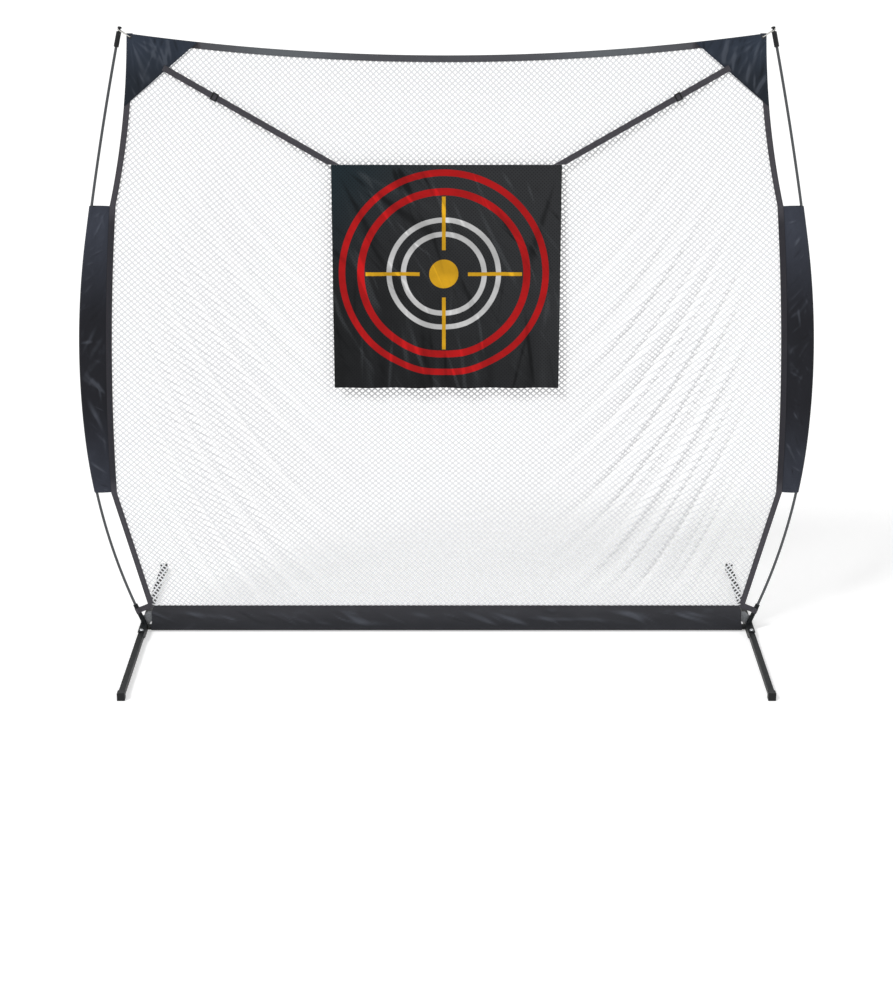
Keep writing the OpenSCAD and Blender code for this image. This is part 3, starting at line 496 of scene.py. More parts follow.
def fibreglass():
    """Dark resin over long glass fibres: streaks along the rod, a soft gloss and fine scratches."""
    material, start = new_finish("fibreglass_rod", Specular_IOR_Level=0.5, Coat_Roughness=0.2)
    rod = start.laid_flat()
    fibres = rod.stretch(2600, 9, 1).noise(1.0, 4.0)
    cloudy = rod.stretch(30, 6, 1).noise(1.0, 3.0)
    worn = rod.stretch(300, 60, 1).noise(1.0, 5.0).rise(0.62, 0.75)
    color = (fibres * 0.6 + cloudy * 0.4).between((30, 33, 36), (72, 76, 80))
    return finish(
        material,
        Base_Color=(worn * 0.3).between(color, (112, 114, 116)),
        Roughness=0.34 + cloudy * 0.12 + worn * 0.2,
        Coat_Weight=0.25 - worn * 0.2,
        Normal=fibres.bump(0.00006, 0.5),
    )


rod_finish = fibreglass()
for side_name, side in SIDES.items():
    for number, level in enumerate(("lower", "middle", "upper")):
        low = number * SECTION + (SECTION_GAP if number else 0)
        rod_path = pole_path(side, low, (number + 1) * SECTION, 90)
        rod = round_bar(f"rod_{level}_{side_name}", rod_path, POLE_R, (0, 1, 0), sides=20)
        show(rod, rod_finish, f"pole_{level}_{side_name}")


# Cords: the elastic shock cord inside each pole, and the loop of braided polyester that ties
# each top corner of the net to its pole's tip, through the eyelet and round the neck.

CORD_WHITE = (232, 231, 226)
CORD_SHADE = (160, 158, 152)
YARN_PITCH = 0.0022
LOOP_R = 0.0015
EYELET = (1.0246, 2.0817)
NECK = (1.0591, 2.1025)
NECK_TURN = 0.0065
EYE_TURN = 0.0035
CORD_FRONT = 0.0063
SHOCK_R = 0.0016
SHOCK_FROM = 0.002


def braid(name, white, shade, pitch):
    """Crossed yarns: a ridge where either of two slanting waves is high, darker between them."""
    material, start = new_finish(name, Specular_IOR_Level=0.3, Sheen_Weight=0.2)
    cord = start.laid_flat()
    along, around = cord.axis("Y"), cord.axis("X")
    one_way = (along + around).wave(pitch)
    other_way = (along - around).wave(pitch)
    yarn = one_way.math("MAXIMUM", other_way)
    soil = cord.stretch(90, 40, 1).noise(1.0, 4.0)
    return finish(
        material,
        Base_Color=(yarn * 0.7 + soil * 0.3).between(shade, white),
        Roughness=0.85 - yarn * 0.15,
        Normal=yarn.bump(0.0002, 0.9),
    )


white_braid = braid("white_braid", CORD_WHITE, CORD_SHADE, YARN_PITCH)
turn_out = np.radians(np.linspace(-90, 90, 25))
turn_in = np.radians(np.linspace(90, 270, 37))
behind, before = turn_in[:19], turn_in[19:]
loop_lean = math.atan2(NECK[1] - EYELET[1], NECK[0] - EYELET[0])
loop_reach = math.dist(NECK, EYELET)


def straight(start, end):
    """The points between the loop's two turns, without their own."""
    return np.linspace(start, end, 26)[1:-1]


# Round the neck, in along the back, through the eyelet to the front, and out again
loop_along = np.concatenate([
    loop_reach + NECK_TURN * np.cos(turn_out),
    straight(loop_reach, EYE_TURN),
    EYE_TURN + EYE_TURN * np.cos(turn_in),
    straight(EYE_TURN, loop_reach),
])
loop_y = np.concatenate([
    NECK_TURN * np.sin(turn_out),
    straight(NECK_TURN, EYE_TURN),
    EYE_TURN * np.sin(behind),
    -CORD_FRONT + EYE_TURN * np.sin(before),
    straight(-CORD_FRONT - EYE_TURN, -NECK_TURN),
])
for side_name, side in SIDES.items():
    loop_path = np.stack([
        side * (EYELET[0] + loop_along * math.cos(loop_lean)),
        loop_y,
        EYELET[1] + loop_along * math.sin(loop_lean),
    ], axis=1)
    across_loop = (-side * math.sin(loop_lean), 0, math.cos(loop_lean))
    loop = round_bar(f"corner_loop_{side_name}", loop_path, LOOP_R, across_loop, sides=12, ring=True)
    show(loop, white_braid, f"corner_cord_{side_name}")
    shock_path = pole_path(side, SHOCK_FROM, 3 * SECTION, 160)
    elastic = round_bar(f"elastic_{side_name}", shock_path, SHOCK_R, (0, 1, 0), sides=10)
    show(elastic, white_braid, f"shock_cord_{side_name}")


# Net: knotless diamond netting, 20 mm wide and 19 mm tall, in white twisted polyester. It is
# sewn in all round, hangs back a little, and folds sweep from the sides down to the middle.

MESH_WIDE = 0.020
MESH_TALL = 0.019
HALVES_ACROSS = 108
HALVES_UP = 208
STRAND_HALF = 0.0026
NET_BACK = 0.013
NET_FOLD = 0.0055
FOLD_BEND = 1.1
FOLD_WAVES = ((0.6, 0.19, 0.6), (0.8, 0.112, 2.1), (0.7, 0.064, 4.0))
BUNCHING = 0.0015
NET_CORNER = (1.0356, 2.0927)
EDGE_HIGH = (1.1187, 1.5258)
EDGE_LOW = (1.1632, 0.5214)
EDGE_FOOT = (1.0540, 0.1058)
NET_FOOT = (1.0320, 0.0878)
NET_LOW = 0.0878
NET_HIGH = 2.0747
SIDE_BOW = 0.015
TOP_SAG = 0.071
WEBBING_W = 0.020
PLY_APART = 0.00035
STRAND_BACK = (0, 0.0003, 0)
STRAND_FRONT = (0, -0.0004, 0)
STRAND_UNEVEN = 0.03
STRAND_FLAT = ((0, 0), (0.001, 0), (0.002, 0))


def bowed(start, end, bow, steps=48):
    """Points of a shallow arc: the chord, plus 4 bow t (1 - t) to its left."""
    start, end = np.array(start), np.array(end)
    t = np.linspace(0, 1, steps)[:, None]
    chord = end - start
    left = np.array([-chord[1], chord[0]]) / np.linalg.norm(chord)
    return start + t * chord + 4 * bow * t * (1 - t) * left


side_edge = np.concatenate([
    bowed(NET_CORNER, EDGE_HIGH, -SIDE_BOW),
    bowed(EDGE_HIGH, EDGE_LOW, SIDE_BOW)[1:],
    bowed(EDGE_LOW, EDGE_FOOT, 0, 20)[1:],
])
net_edge = np.concatenate([side_edge, [NET_FOOT]])[::-1]


def net_fold(x, z):
    """Folds of the hung net: sines of several heights, lengths and phases in z - FOLD_BEND x x,
    the curves that the corners' pull follows, gone at the edges and in the middle."""
    sweep = z - FOLD_BEND * x * x
    wide = np.abs(x)
    window = np.clip((wide - 0.25) / 0.4, 0, 1) ** 1.5 * np.clip((1.13 - wide) / 0.25, 0, 1)
    window = window * np.clip((z - 0.09) / 0.12, 0, 1) * np.clip((1.75 - z) / 0.7, 0, 1)
    turns = 2 * np.pi * sweep
    return window * sum(tall * np.sin(turns / long + phase) for tall, long, phase in FOLD_WAVES)


def net_points(across, up):
    """Net's own place at across from -1 to 1 and up from 0 to 1: out to the side edge, up to
    the sagging top, then bunched a little along the folds and hung back from the frame."""
    level = NET_LOW + up * (NET_HIGH - NET_LOW)
    half = np.interp(level, net_edge[:, 1], net_edge[:, 0]) - WEBBING_W / 2
    x = across * half
    z = NET_LOW + up * (NET_HIGH - TOP_SAG * (1 - across**2) - NET_LOW)
    fold = net_fold(x, z)
    inside = np.clip((1 - across**2) / 0.15, 0, 1) * np.clip(up * (1 - up) / 0.05, 0, 1)
    slope = 2 * FOLD_BEND * x
    steep = np.sqrt(1 + slope**2)
    shift = BUNCHING * fold * inside
    hang = (1 - across**2) * np.sin(np.pi * up) ** 0.8
    y = NET_BACK * hang + NET_FOLD * (fold + 0.8) * inside * np.clip(hang * 4, 0, 1)
    return np.stack([x - shift * slope / steep, np.maximum(y, 0), z + shift / steep], axis=-1)


def strands(name, first_column, last_column):
    """Two families of strands through the knots of a diamond net, one slanting each way. Each
    knot has a three-cornered ring of each family, and rings of knots next on a strand join."""
    random = np.random.default_rng(61)
    columns = np.arange(first_column, last_column + 1)
    rows = np.arange(HALVES_UP + 1)
    row, column = np.meshgrid(rows, columns, indexing="ij")
    knots = net_points(column / HALVES_ACROSS, row / HALVES_UP)
    crest = net_fold(knots[..., 0], knots[..., 2])
    real = (row + column) % 2 == 0
    number = np.cumsum(real.ravel()).reshape(real.shape) - 1
    count = int(real.sum())
    rings, quads, caps, flats = [], [], [], []
    for family, lean in enumerate((1, -1)):
        step = np.full(knots.shape, [lean * MESH_WIDE / 2, 0, MESH_TALL / 2])
        way = unit(step)
        beside = np.stack([way[..., 2], 0 * way[..., 0], -way[..., 0]], axis=-1)
        middle = knots + np.array([0, 1, 0]) * PLY_APART * lean
        swell = 1.0 + random.normal(0, STRAND_UNEVEN, row.shape)[..., None]
        trio = np.stack([
            middle + beside * STRAND_HALF * swell + STRAND_BACK,
            middle + STRAND_FRONT,
            middle - beside * STRAND_HALF * swell + STRAND_BACK,
        ], axis=2)
        rings.append(trio[real].reshape(-1, 3))
        line = np.stack([column * 0.0 + family, row * MESH_TALL / 2], axis=-1)
        flats.append(np.repeat(line[real], 3, axis=0) + np.tile(STRAND_FLAT, (count, 1)))
        here = (slice(0, -1), slice(0, -1)) if lean > 0 else (slice(0, -1), slice(1, None))
        there = (slice(1, None), slice(1, None)) if lean > 0 else (slice(1, None), slice(0, -1))
        joined = real[here]
        a, b = number[here][joined], number[there][joined]
        base = family * 3 * count
        for k in range(3):
            n = (k + 1) % 3
            quads.append(base + np.stack([3 * a + k, 3 * a + n, 3 * b + n, 3 * b + k], axis=1))
        has_next = np.zeros(count, bool)
        has_before = np.zeros(count, bool)
        has_next[a] = True
        has_before[b] = True
        starts, ends = np.flatnonzero(~has_before & has_next), np.flatnonzero(~has_next & has_before)
        caps.append(base + np.stack([3 * starts + 2, 3 * starts + 1, 3 * starts], axis=1))
        caps.append(base + np.stack([3 * ends, 3 * ends + 1, 3 * ends + 2], axis=1))
    # The fold height at each knot, kept for the twine's painted highlight and painted shade
    marks = {"crest": np.tile(np.repeat(crest[real], 3), 2)}
    return outward(surface(name, np.concatenate(rings), quads + caps, np.concatenate(flats), marks))


def net_twine():
    """White twisted polyester: slanting plies along each strand, a faint grey soil in patches, and
     painted light on the crests of the folds with painted shade in their hollows."""
    material, start = new_finish("net_twine", Specular_IOR_Level=0.25, Sheen_Weight=0.15)
    place, strand = start.place(), start.laid_flat()
    plies = (strand.axis("Y") + strand.axis("X")).wave(0.0024)
    soil = place.noise(7, 5.0)
    fuzz = place.noise(900, 2.0)
    tone = plies * 0.5 + soil * 0.3 + fuzz * 0.2
    # Painted light: a lit copy of the twine for the crests of the folds, and a darker copy for painted shade
    # in their hollows
    dull = tone.between((223, 224, 227), (241, 242, 244))
    lit = tone.between((238, 239, 241), (250, 250, 251))
    return finish(
        material,
        Base_Color=start.mark("crest").rise(-0.4, 1.5).between(dull, lit),
        Roughness=0.8 - plies * 0.15,
        Normal=(plies + fuzz * 0.3).bump(0.00025, 0.7),
    )


twine = net_twine()
net_halves = {"left": (-HALVES_ACROSS, 0), "right": (0, HALVES_ACROSS)}
for side_name, (first, last) in net_halves.items():
    netting = show(strands(f"netting_{side_name}", first, last), twine, "net")


# Edge bands, straps and tabs: flat woven polyester webbing with a selvedge, sewn on with two
# rows of dark thread. Each strip is a closed sheet, and each stitch a small solid on it.

CLOTH_Y = 0.0016
WEBBING_Y = 0.00325
PATCH_Y = 0.0049
STRAP_Y = 0.0065
CLOTH_T = 0.0012
WEBBING_T = 0.0016
TOP_BAND_W = 0.022
STRAP_W = 0.020
STRAP_T = 0.0015
STRIP_COLUMNS = 7
WEB_DARK = (44, 43, 47)
PAINTED_LIGHT_AT = 0.52
PAINTED_LIGHT_WIDTH = 0.16
DARK_FROM = 0.80
SHADED_MIDDLE = 1.02
SHADED_HALF = 0.50
SHADED_EDGE = 0.0625
STITCH = 0.0034
STITCH_PITCH = 0.0052
STITCH_HALF = 0.00042
STITCH_TALL = 0.00028
STITCH_SUNK = 0.0001
STITCH_SIDES = 6
SEAM_IN = 0.003


def unrolled(middle):
    """Lengths along a sheet's two ways, as a UV map: across its columns and along its rows."""
    step_across = np.linalg.norm(np.diff(middle, axis=1), axis=2)
    step_along = np.linalg.norm(np.diff(middle, axis=0), axis=2).mean(axis=1)
    across = np.pad(np.cumsum(step_across, axis=1), ((0, 0), (1, 0)))
    along = np.broadcast_to(np.pad(np.cumsum(step_along), (1, 0))[:, None], across.shape)
    return np.stack([across, along], axis=2)


def cloth(name, middle, thickness, flat=None, front=(0, -1, 0), crest=0.0):
    """A closed sheet round a grid of points: the grid moved half a thickness each way along
     its own normal, which is the cross of its two slopes, and a rim that joins the two. A value
     from -1 to 1 for painted highlight above 0 and painted shade below, mostly the crest of its folds, is
     kept for the finish."""
    flat = unrolled(middle) if flat is None else flat
    crest = np.broadcast_to(crest, middle.shape[:2])
    normal = np.cross(np.gradient(middle, axis=0), np.gradient(middle, axis=1))
    if (normal @ np.array(front, float)).mean() < 0:
        middle, flat, normal, crest = middle[:, ::-1], flat[:, ::-1], -normal[:, ::-1], crest[:, ::-1]
    normal /= np.maximum(np.linalg.norm(normal, axis=2, keepdims=True), 1e-12)
    rows, columns = middle.shape[:2]
    count = rows * columns
    points = np.concatenate([
        (middle + normal * thickness / 2).reshape(-1, 3),
        (middle - normal * thickness / 2).reshape(-1, 3),
    ])
    faces = grid_faces(rows, columns)
    order = np.arange(count).reshape(rows, columns)
    rim = np.concatenate([order[:-1, 0], order[-1, :-1], order[:0:-1, -1], order[0, :0:-1]])
    after = np.roll(rim, -1)
    walls = np.stack([after, rim, rim + count, after + count], axis=1)
    marks = {"face_side": np.repeat([1.0, 0.0], count), "crest": np.tile(crest.ravel(), 2)}
    flats = np.tile(flat.reshape(-1, 2), (2, 1))
    return surface(name, points, [faces, faces[:, ::-1] + count, walls], flats, marks)


def strip(edge_a, edge_b, y):
    """A grid between two edges in the net's plane, each a row of (x, z), at the depth y."""
    u = np.linspace(0, 1, STRIP_COLUMNS)[None, :, None]
    flat_grid = edge_a[:, None] * (1 - u) + edge_b[:, None] * u
    return np.stack([flat_grid[..., 0], np.full(flat_grid.shape[:2], -y), flat_grid[..., 1]], axis=2)


def sewn(name, line, y, pitch=STITCH_PITCH):
    """Lock stitches along a row of (x, z): each a small spindle on the cloth's face, of a flat
    hexagon round its middle and two poles that are its ends."""
    steps = lengths_along(line)
    centres = np.arange(pitch / 2, steps[-1] - pitch / 2, pitch)
    ends = [np.stack([np.interp(centres + d, steps, line[:, k]) for k in (0, 1)], axis=1)
            for d in (-STITCH / 2, STITCH / 2)]
    middle, way = (ends[0] + ends[1]) / 2, unit(ends[1] - ends[0])
    side_way = np.stack([way[:, 1], -way[:, 0]], axis=1)
    turn = np.arange(STITCH_SIDES) * np.pi / 3
    ring = middle[:, None] + STITCH_HALF * np.cos(turn)[None, :, None] * side_way[:, None]
    ring_y = np.broadcast_to(-y - STITCH_TALL * np.sin(turn) - STITCH_SUNK, ring.shape[:2])
    hexagons = np.stack([ring[..., 0], ring_y, ring[..., 1]], axis=2)
    pole_y = np.full(len(centres), -y + STITCH_SUNK)
    poles = [np.stack([end[:, 0], pole_y, end[:, 1]], axis=1)[:, None] for end in ends]
    points = np.concatenate([poles[0], hexagons, poles[1]], axis=1)
    k = np.arange(STITCH_SIDES)
    here, after, last = 1 + k, 1 + (k + 1) % STITCH_SIDES, 0 * k + STITCH_SIDES + 1
    fans = np.stack([np.concatenate(pair) for pair in ((0 * k, last), (here, after), (after, here))], axis=1)
    firsts = (STITCH_SIDES + 2) * np.arange(len(centres))
    faces = (fans[None] + firsts[:, None, None]).reshape(-1, 3)
    return show(outward(surface(name, points.reshape(-1, 3), [faces])), thread_finish)


def two_seams(name, edge, inward, width, y):
    """A row of stitches near each long edge of a strip of this width."""
    insets = (SEAM_IN, width - SEAM_IN)
    return [sewn(f"{name}_{k}", edge + inset * np.array(inward), y) for k, inset in enumerate(insets)]


def webbing_finish():
    """Ribbed weave: ribs across the tape, warp lines along it, a tighter selvedge, and dust. Painted
     light makes it paler where its crest value is high, and painted shade darker where it is low."""
    material, start = new_finish("black_webbing", Specular_IOR_Level=0.14, Sheen_Weight=0.06)
    tape, crest = start.laid_flat(), start.mark("crest")
    along, across = tape.axis("Y"), tape.axis("X")
    ribs = (along + across.wave(0.0024) * 0.0004).wave(0.0015)
    warp = across.wave(0.0012)
    weave = ribs * 0.6 + warp * 0.4
    dust = tape.stretch(70, 12, 1).noise(1.0, 5.0)
    edge = 1 - across.rise(0.0006, 0.0022)
    tone = weave * 0.55 + dust * 0.45
    color = tone.between(WEB_DARK, (92, 90, 96))
    color = (edge * 0.5).between(color, WEB_DARK)
    # Painted shade where the crest value is below 0, and painted light where it is above 0
    color = ((crest * -1).rise(0, 1) * 0.7).between(color, (32, 32, 38))
    return finish(
        material,
        Base_Color=(crest.rise(0, 1) * 0.7).between(color, (110, 116, 120)),
        Roughness=0.88 - weave * 0.2,
        Normal=weave.bump(0.0003, 0.8),
    )


def sewing_thread():
    """Two-ply dark polyester thread, with a slanting ridge and worn, paler spots."""
    material, start = new_finish("sewing_thread", Specular_IOR_Level=0.3)
    place = start.place()
    ply = (place.axis("X") + place.axis("Z")).wave(0.0007)
    fuzz = place.noise(1500, 3.0)
    return finish(
        material,
        Base_Color=(ply * 0.5 + fuzz * 0.5).between((26, 26, 29), (74, 73, 78)),
        Roughness=0.75 - ply * 0.15,
        Normal=ply.bump(0.0001, 0.6),
    )


black_webbing = webbing_finish()
thread_finish = sewing_thread()

top_edge = bowed((-NET_CORNER[0], NET_CORNER[1]), NET_CORNER, -TOP_SAG, 200)
top_inner = top_edge - [0, TOP_BAND_W]
# Painted light on the top band, most a quarter of the width in from each corner, and painted shade beside
# the patches
off_middle = np.abs(top_edge[:, 0])
top_band_painted_light = 0.35 + 0.55 * np.exp(-(((off_middle - PAINTED_LIGHT_AT) / PAINTED_LIGHT_WIDTH) ** 2))
top_band_painted_light = np.where(off_middle > DARK_FROM, -0.6, top_band_painted_light)
top_mesh = cloth("top_binding", strip(top_edge, top_inner, CLOTH_Y), CLOTH_T, crest=top_band_painted_light[:, None])
top_band = show(top_mesh, black_webbing, "top_band")
top_seams = two_seams("top_seam", top_edge, (0, -1), TOP_BAND_W, CLOTH_Y + CLOTH_T / 2)

for side_name, side in SIDES.items():
    outer = side_edge * [side, 1]
    inner = outer - [side * WEBBING_W, 0]
    # Painted shade on the tape beside the sleeve
    beside = np.clip((SHADED_HALF - np.abs(side_edge[:, 1] - SHADED_MIDDLE)) / SHADED_EDGE, 0, 1)
    tape_grid = strip(outer, inner, WEBBING_Y)
    tape_mesh = cloth(f"side_tape_{side_name}", tape_grid, WEBBING_T, crest=-beside[:, None])
    tape = show(tape_mesh, black_webbing, f"side_webbing_{side_name}")
    seams = two_seams(f"side_seam_{side_name}", outer, (-side, 0), WEBBING_W, WEBBING_Y + WEBBING_T / 2)


# Corner tabs: a length of the same webbing from behind the net's bottom corner, round the
# pole's socket and back on itself, which holds the corner down.

SOCKET_LEN = 0.074
TAB_AT = 0.050
TAB_TAIL = 0.055
TAB_TAIL_END = 0.006
TAB_R = 0.0088
TAB_TURN = (-100, 246)

lean_lost = (POLE_LEANS[0] - POLE_LEANS[1]) * SOCKET_LEN / 2 / SECTION
socket_lean = math.radians(POLE_LEANS[0] - lean_lost)
tab_turn = np.radians(np.linspace(*TAB_TURN, 70))
tab_line = np.concatenate([
    np.stack([np.linspace(-TAB_TAIL, -TAB_TAIL_END, 24), np.full(24, -CLOTH_Y)], axis=1),
    np.stack([TAB_R * np.cos(tab_turn), TAB_R * np.sin(tab_turn)], axis=1),
])
for side_name, side in SIDES.items():
    heights = TAB_AT + np.linspace(-WEBBING_W / 2, WEBBING_W / 2, STRIP_COLUMNS)
    out, up = np.meshgrid(tab_line[:, 0], heights, indexing="ij")
    depth = np.broadcast_to(tab_line[:, 1][:, None], out.shape)
    tab_grid = np.stack([
        side * (POLE_FOOT[0] + out * math.cos(socket_lean) + up * math.sin(socket_lean)),
        depth,
        POLE_FOOT[1] - out * math.sin(socket_lean) + up * math.cos(socket_lean),
    ], axis=2)
    tab_mesh = cloth(f"foot_tab_{side_name}", tab_grid, CLOTH_T)
    tab = show(tab_mesh, black_webbing, f"corner_tab_{side_name}")


# Side sleeves: a strip of coated oxford nylon folded round each pole, its two edges sewn
# under the side webbing. The pull of the bow creases it between the pole and the seam.

SLEEVE_FROM = 0.510
SLEEVE_LEN = 1.010
POCKET_R = 0.00735
SEAM_CLEAR = 0.002
FRONT_STEPS = 32
TURN_STEPS = 13
FOLDED_STEP = 0.0026
LOOSE_LIFT = 0.0024
SHORT_CREASES = {"count": 150, "length": 0.022, "width": 0.0034, "height": 0.0030, "spread": 22}
LONG_CREASES = {"count": 50, "length": 0.050, "width": 0.0055, "height": 0.0030, "spread": 12}
SHORT_LEAN = 54
LONG_LEAN = 60
SLEEVE_CREST = 0.0034


def creases(u, v, random, lean, count, length, width, height, spread):
    """Sum of soft creases in a sheet laid flat: each is a bell across its width that fades
    along its length, at a random place, turned about lean by spread degrees."""
    total = np.zeros_like(u)
    for _ in range(count):
        middle_u = random.uniform(u.min(), u.max())
        middle_v = random.uniform(v.min(), v.max())
        angle = math.radians(random.normal(lean, spread))
        reach = length * random.uniform(0.5, 1.6)
        thick = width * random.uniform(0.6, 1.5)
        tall = height * random.uniform(0.3, 1.0) * random.choice([-0.6, 1.0])
        along = (u - middle_u) * math.cos(angle) + (v - middle_v) * math.sin(angle)
        off = (v - middle_v) * math.cos(angle) - (u - middle_u) * math.sin(angle)
        total += tall * np.exp(-((along / reach) ** 2) - (off / thick) ** 2)
    return total


def folded(start):
    """Masks for a painted highlight on the crests of the folds, and for painted shade in their hollows."""
    crest = start.mark("crest")
    return crest.rise(0.05, 1.0), (crest * -1).rise(0.05, 0.9)


def oxford(name, dark, light, far_tone, middle, near, far):
    """Plain weave of flat yarns under a thin coating: a fine basket, soft crinkles, a painted highlight
     on the crests of folds and painted shade in their hollows, and a paler tone away from a middle height."""
    material, start = new_finish(
        name, Specular_IOR_Level=0.15, Sheen_Weight=0.03, Sheen_Roughness=0.4, Sheen_Tint=(0.7, 0.8, 1.0)
    )
    lay = start.laid_flat()
    shine, painted_hollow_shade = folded(start)
    warp, weft = lay.axis("X").wave(0.0011), lay.axis("Y").wave(0.0011)
    basket = abs(warp - weft)
    crinkle = lay.stretch(26, 11, 1).noise(1.0, 6.0)
    cloudy = lay.stretch(7, 3, 1).noise(1.0, 3.0)
    rub = crinkle.rise(0.56, 0.72)
    tone = cloudy * 0.55 + crinkle * 0.25 + basket * 0.2
    away_from_middle = abs(start.place().axis("Z") - middle).rise(near, far)
    color = (away_from_middle * tone).between(tone.between(dark, light), far_tone)
    # Painted shade in the hollows of the folds here, and a painted highlight on their crests below
    color = (painted_hollow_shade * 0.75).between(color, dark)
    return finish(
        material,
        Base_Color=(shine * 0.22 + rub * 0.04).between(color, (116, 122, 134)),
        Roughness=0.44 + cloudy * 0.12 - shine * 0.12,
        Normal=crinkle.bump(0.0022, 0.55, basket.bump(0.00012, 0.45)),
    )


sleeve_cloth = oxford(
    "sleeve_oxford", (8, 8, 12), (34, 35, 42), far_tone=(72, 77, 90), middle=0.98, near=0.12, far=0.50
)
for side_name, side in SIDES.items():
    random = np.random.default_rng(11 if side > 0 else 29)
    t = np.linspace(0, 1, 420)[:, None]
    x_pole, z_pole = pole_at(SLEEVE_FROM + t * SLEEVE_LEN)
    chord = np.array(EDGE_HIGH) - np.array(EDGE_LOW)
    edge_x = EDGE_LOW[0] + t * chord[0] + 4 * SIDE_BOW * t * (1 - t) - WEBBING_W
    edge_z = EDGE_LOW[1] + t * chord[1]
    reach = np.hypot(x_pole - edge_x, z_pole - edge_z)
    way_x, way_z = (x_pole - edge_x) / reach, (z_pole - edge_z) / reach
    # Across the folded strip: 0 to 1 along the front, a half turn round the pole, and back
    front_share = np.linspace(0, 1, FRONT_STEPS)
    half_turn = np.radians(np.linspace(0, 180, TURN_STEPS + 2))[1:-1]
    share = np.concatenate([front_share, np.ones(TURN_STEPS), front_share[::-1]])
    face = np.concatenate([-np.ones(FRONT_STEPS), -np.cos(half_turn), np.ones(FRONT_STEPS)])
    bulge = np.pad(np.sin(half_turn) * POCKET_R, FRONT_STEPS)
    off_seam = np.clip((share * reach - WEBBING_W - SEAM_CLEAR) / (reach - WEBBING_W), 0, 1)
    depth = CLOTH_Y + (POCKET_R - CLOTH_Y) * off_seam
    strip_u = np.cumsum(np.concatenate([[0], np.full(len(share) - 1, FOLDED_STEP)]))
    flat_u, flat_v = np.meshgrid(strip_u, t * SLEEVE_LEN)
    loose = np.sin(np.pi * off_seam) ** 0.7 * face**2
    upper = np.clip((flat_v / SLEEVE_LEN - 0.35) / 0.2, 0, 1)
    rising, falling = (
        creases(flat_u, flat_v, random, SHORT_LEAN * way, **SHORT_CREASES)
        + creases(flat_u, flat_v, random, LONG_LEAN * way, **LONG_CREASES)
        for way in (side, -side)
    )
    wrinkle = upper * rising + (1 - upper) * falling
    lift = np.maximum(loose * (LOOSE_LIFT + wrinkle), -LOOSE_LIFT / 3 * loose)
    # The wrinkles' crest, kept for the cloth's painted highlight and painted shade
    sleeve_crest = np.clip(loose * wrinkle / SLEEVE_CREST, -1, 1)
    along = share * reach + bulge
    y = face * depth + np.sign(face) * lift
    sleeve_grid = np.stack([side * (edge_x + along * way_x), y, edge_z + along * way_z], axis=2)
    sleeve_mesh = cloth(
        f"pole_sleeve_{side_name}", sleeve_grid, CLOTH_T, front=(side, 0, 0), crest=sleeve_crest
    )
    sleeve = show(sleeve_mesh, sleeve_cloth, f"side_sleeve_{side_name}")
    for hem_name, row in (("low", 4), ("high", -5)):
        hem = sleeve_grid[row, 9 : FRONT_STEPS - 1]
        hem_y = -hem[:, 1].mean() + CLOTH_T / 2
        sewn(f"sleeve_hem_{hem_name}_{side_name}", hem[:, [0, 2]], hem_y, pitch=0.0045)


# Bottom sleeve: a wide strip of the same cloth folded under the crossbar, both edges sewn to
# the foot of the net. It hangs in long shallow drags between the hubs.

SLEEVE_TOP = 0.0978
BAR_Z = 0.016
BAR_FOLD_R = 0.0116
BAND_LOW_END = 1.046
BAND_MIDDLE_END = 1.0415
BAND_HIGH_END = 1.032
END_HEIGHTS = (0.030, 0.034, 0.078, SLEEVE_TOP)
BAND_DRAGS = {"count": 260, "length": 0.045, "width": 0.0040, "height": 0.0022, "spread": 9}
LONG_DRAGS = {"count": 90, "length": 0.12, "width": 0.0085, "height": 0.0030, "spread": 7}
BAND_CREST = 0.0046
BAND_SEAM_DROPS = (0.004, 0.009)
WALL_STEPS = 15

band_cloth = oxford(
    "band_oxford", (16, 17, 20), (54, 55, 60), far_tone=(60, 60, 64), middle=0.0, near=0.02, far=0.09
)
random = np.random.default_rng(47)
band_turn = np.radians(np.linspace(180, 360, 21))
wall = np.linspace(0, 1, WALL_STEPS + 1)[:-1]
wall_y = CLOTH_Y + (BAR_FOLD_R - CLOTH_Y) * wall
wall_z = SLEEVE_TOP - (SLEEVE_TOP - BAR_Z) * wall
fold_y = np.concatenate([-wall_y, BAR_FOLD_R * np.cos(band_turn), wall_y[::-1]])
fold_z = np.concatenate([wall_z, BAR_Z + BAR_FOLD_R * np.sin(band_turn), wall_z[::-1]])
# Its ends are cut clear of the gussets half way up, and of the corner tabs at the top
end_places = (BAND_LOW_END, BAND_MIDDLE_END, BAND_MIDDLE_END, BAND_HIGH_END)
half_len = np.interp(fold_z, END_HEIGHTS, end_places)
band_t = np.linspace(-1, 1, 560)
band_x = band_t[:, None] * half_len[None]
fold_s = np.concatenate([[0], np.cumsum(np.hypot(np.diff(fold_y), np.diff(fold_z)))])
flat_u, flat_v = np.meshgrid(fold_s, band_t * BAND_LOW_END)
above_bar = np.clip((fold_z - BAR_Z - 0.004) / 0.02, 0, 1)
on_wall = above_bar * np.clip((SLEEVE_TOP - 0.010 - fold_z) / 0.02, 0, 1)
drags = creases(flat_u, flat_v, random, 66, **BAND_DRAGS)
drags += creases(flat_u, flat_v, random, 74, **LONG_DRAGS)
lift = np.maximum(on_wall * (0.0008 + drags), -0.0009 * on_wall)
